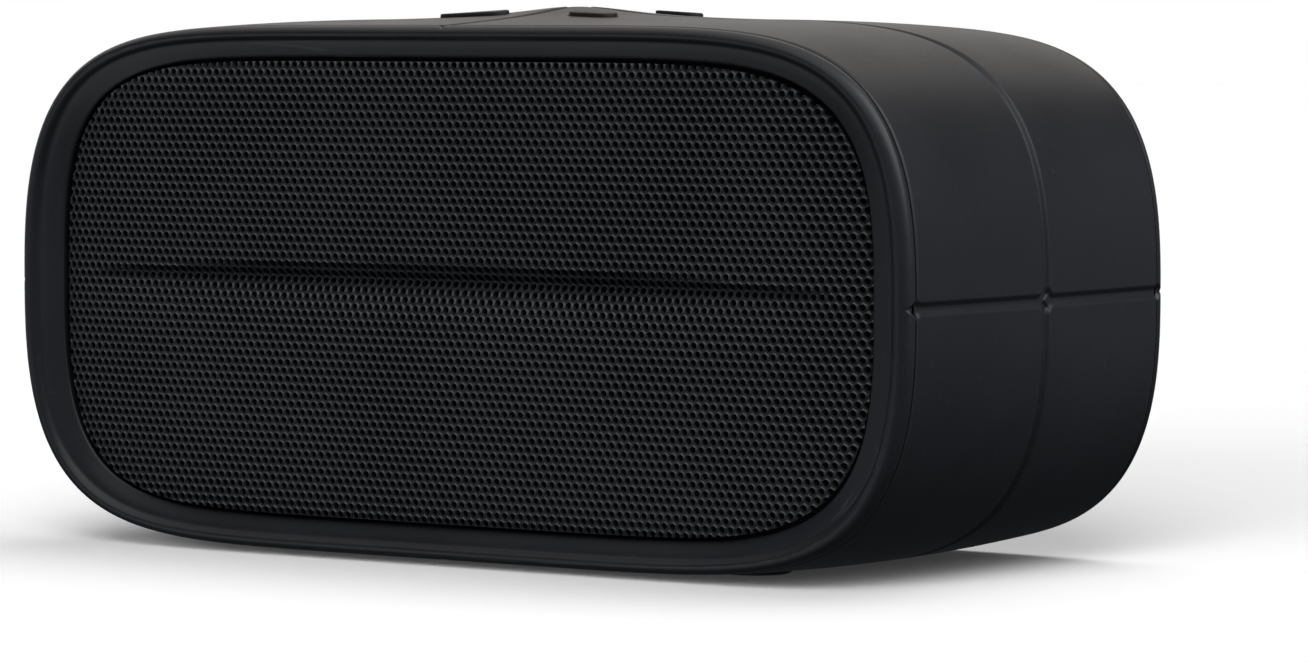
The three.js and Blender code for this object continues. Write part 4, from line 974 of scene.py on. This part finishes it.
# ---------------------------------------------------------------- build
make_sleeve()
make_rear_panel()
make_surround()
make_radiator()
make_flap()
bezel_piece("front_bezel_ring", -1, "front_bezel")
bezel_piece("rear_bezel_ring", 1, "rear_bezel")
make_grille()
for key_node in KEYS:
    make_key(key_node)
for foot_node in FEET:
    make_foot(foot_node)

slot_of = {part["node"]: part["material_slot"] for part in frame["record"]["subparts"]}
for node, node_object in frame["nodes"].items():
    if node_object.hide_render:
        continue
    node_object.data.materials.clear()
    node_object.data.materials.append(MATERIALS[slot_of[node]])

# ---------------------------------------------------------------- stage
FLOOR_HALF = 6.0


def make_floor():
    points = [(-FLOOR_HALF, -FLOOR_HALF, 0), (FLOOR_HALF, -FLOOR_HALF, 0),
              (FLOOR_HALF, FLOOR_HALF, 0), (-FLOOR_HALF, FLOOR_HALF, 0)]
    floor = new_piece("floor", np.array(points) / MM, [[0, 1, 2, 3]], smooth=0)
    n = Nodes("floor_paper")
    tone = n.spread(n.noise(3.0), 0.0, 1.0)
    colour = n.mixed(tone, (0.59, 0.59, 0.59), (0.61, 0.61, 0.61))
    floor.data.materials.append(n.done(colour, n.spread(n.noise(5.0), 0.85, 0.95), Specular_IOR_Level=0.0,
                                       Emission_Color=(1.0, 1.0, 1.0, 1.0), Emission_Strength=0.03))
    # The floor doesn't throw light back up: the white paper would wash out the black body.
    floor.visible_diffuse = floor.visible_glossy = False
    return floor


def place_lamp(light, place, target):
    bpy.context.scene.collection.objects.link(light)
    light.location = place
    light.rotation_euler = (Vector(target) - Vector(place)).to_track_quat("-Z", "Y").to_euler()


def link_floor(lamp, floor, state):
    """Lets a lamp light the floor alone (INCLUDE), or everything but the floor and through it (EXCLUDE)."""
    lit = bpy.data.collections.new(f"{lamp.name}_floor")
    lit.objects.link(floor)
    lit.collection_objects[0].light_linking.link_state = state
    lamp.light_linking.receiver_collection = lit
    if state == "EXCLUDE":
        lamp.light_linking.blocker_collection = lit


def towards(azimuth, height):
    """The direction at an azimuth and a height, both in degrees."""
    turn, rise = math.radians(azimuth), math.radians(height)
    return (math.cos(rise) * math.cos(turn), math.cos(rise) * math.sin(turn), math.sin(rise))


def sky_light(name, place, strength, spread, colour, floor, state="EXCLUDE"):
    """A lamp as wide as a window of sky."""
    data = bpy.data.lights.new(name, "SUN")
    data.energy, data.angle, data.color = strength, math.radians(spread), colour
    lamp = bpy.data.objects.new(name, data)
    place_lamp(lamp, place, (0, 0, 0))
    link_floor(lamp, floor, state)


# The lamps that light the floor alone: azimuth and height in degrees, share of the floor's white, spread.
PAPER_LIGHTS = [(300, 40, 0.23, 36), (300, 24, 0.18, 36), (60, 70, 0.19, 36), (120, 70, 0.17, 36),
                (270, 11, 0.13, 30), (30, 40, 0.08, 60)]
PAPER_WHITE = 0.6


def paper_light(name, azimuth, height, share, spread, floor):
    strength = share * math.pi / (PAPER_WHITE * math.sin(math.radians(height)))
    sky_light(name, towards(azimuth, height), strength, spread, (1.0, 1.0, 1.0), floor, "INCLUDE")


# Light from each height above the horizon, as (sine of the height, strength).
SKY = [(-1.0, 0.053), (-0.14, 0.055), (-0.11, 0.36), (0.24, 0.36), (0.28, 0.01), (1.0, 0.0)]
SKY_COLOUR = (0.86, 0.91, 1.0)


def make_world():
    world = bpy.data.worlds.new("studio")
    bpy.context.scene.world = world
    world.use_nodes = True
    tree = world.node_tree
    tree.nodes.clear()
    output = tree.nodes.new("ShaderNodeOutputWorld")
    seen, lit = tree.nodes.new("ShaderNodeBackground"), tree.nodes.new("ShaderNodeBackground")
    seen.inputs["Color"].default_value = (1.0, 1.0, 1.0, 1.0)
    lit.inputs["Color"].default_value = (*SKY_COLOUR, 1.0)
    split, ramp = tree.nodes.new("ShaderNodeSeparateXYZ"), tree.nodes.new("ShaderNodeFloatCurve")
    span = tree.nodes.new("ShaderNodeMapRange")
    span.inputs["From Min"].default_value = -1.0
    curve = ramp.mapping.curves[0]
    curve.points[0].location = (0.0, SKY[0][1])
    curve.points[1].location = (1.0, SKY[-1][1])
    for height, strength in SKY[1:-1]:
        curve.points.new((height + 1) / 2, strength)
    for point in curve.points:
        point.handle_type = "VECTOR"
    ramp.mapping.update()
    tree.links.new(tree.nodes.new("ShaderNodeTexCoord").outputs["Generated"], split.inputs[0])
    tree.links.new(split.outputs["Z"], span.inputs["Value"])
    tree.links.new(span.outputs["Result"], ramp.inputs["Value"])
    tree.links.new(ramp.outputs[0], lit.inputs["Strength"])
    ray, mix = tree.nodes.new("ShaderNodeLightPath"), tree.nodes.new("ShaderNodeMixShader")
    tree.links.new(ray.outputs["Is Camera Ray"], mix.inputs[0])
    tree.links.new(lit.outputs[0], mix.inputs[1])
    tree.links.new(seen.outputs[0], mix.inputs[2])
    tree.links.new(mix.outputs[0], output.inputs["Surface"])


# The camera's place and target in metres, by the body's middle height.
CAMERA_PLACE = (0.5983, -0.8119, 0.047 + CENTRE_Z * MM)
CAMERA_TARGET = (0.00896, 0.00984, -0.00823 + CENTRE_Z * MM)
CAMERA_LENS = 158.95


def make_camera():
    data = bpy.data.cameras.new("camera")
    data.lens, data.sensor_width = CAMERA_LENS, 36.0
    data.clip_start, data.clip_end = 0.05, 50.0
    camera = bpy.data.objects.new("camera", data)
    bpy.context.scene.collection.objects.link(camera)
    place, target = Vector(CAMERA_PLACE), Vector(CAMERA_TARGET)
    camera.location = place
    camera.rotation_euler = (target - place).to_track_quat("-Z", "Y").to_euler()
    bpy.context.scene.camera = camera


paper = make_floor()
make_world()
make_camera()
for number, (azimuth, height, share, spread) in enumerate(PAPER_LIGHTS):
    paper_light(f"paper_light_{number}", azimuth, height, share, spread, paper)
# The lamps that light all but the floor: name, azimuth, height and spread in degrees, strength, colour.
WINDOWS = [("front_window", 270, 60, 60, 1.05, (0.94, 0.97, 1.0)),
           ("rear_left_window", 135, 45, 80, 1.2, (1.0, 0.95, 0.88)),
           ("right_window", 0, 45, 60, 2.6, (0.95, 0.97, 1.0)),
           ("light_off_the_table", 235, -30, 50, 0.46, (0.92, 0.95, 1.0))]
for window, azimuth, height, spread, strength, colour in WINDOWS:
    sky_light(window, towards(azimuth, height), strength, spread, colour, paper)
bpy.context.scene.view_settings.view_transform = "Standard"
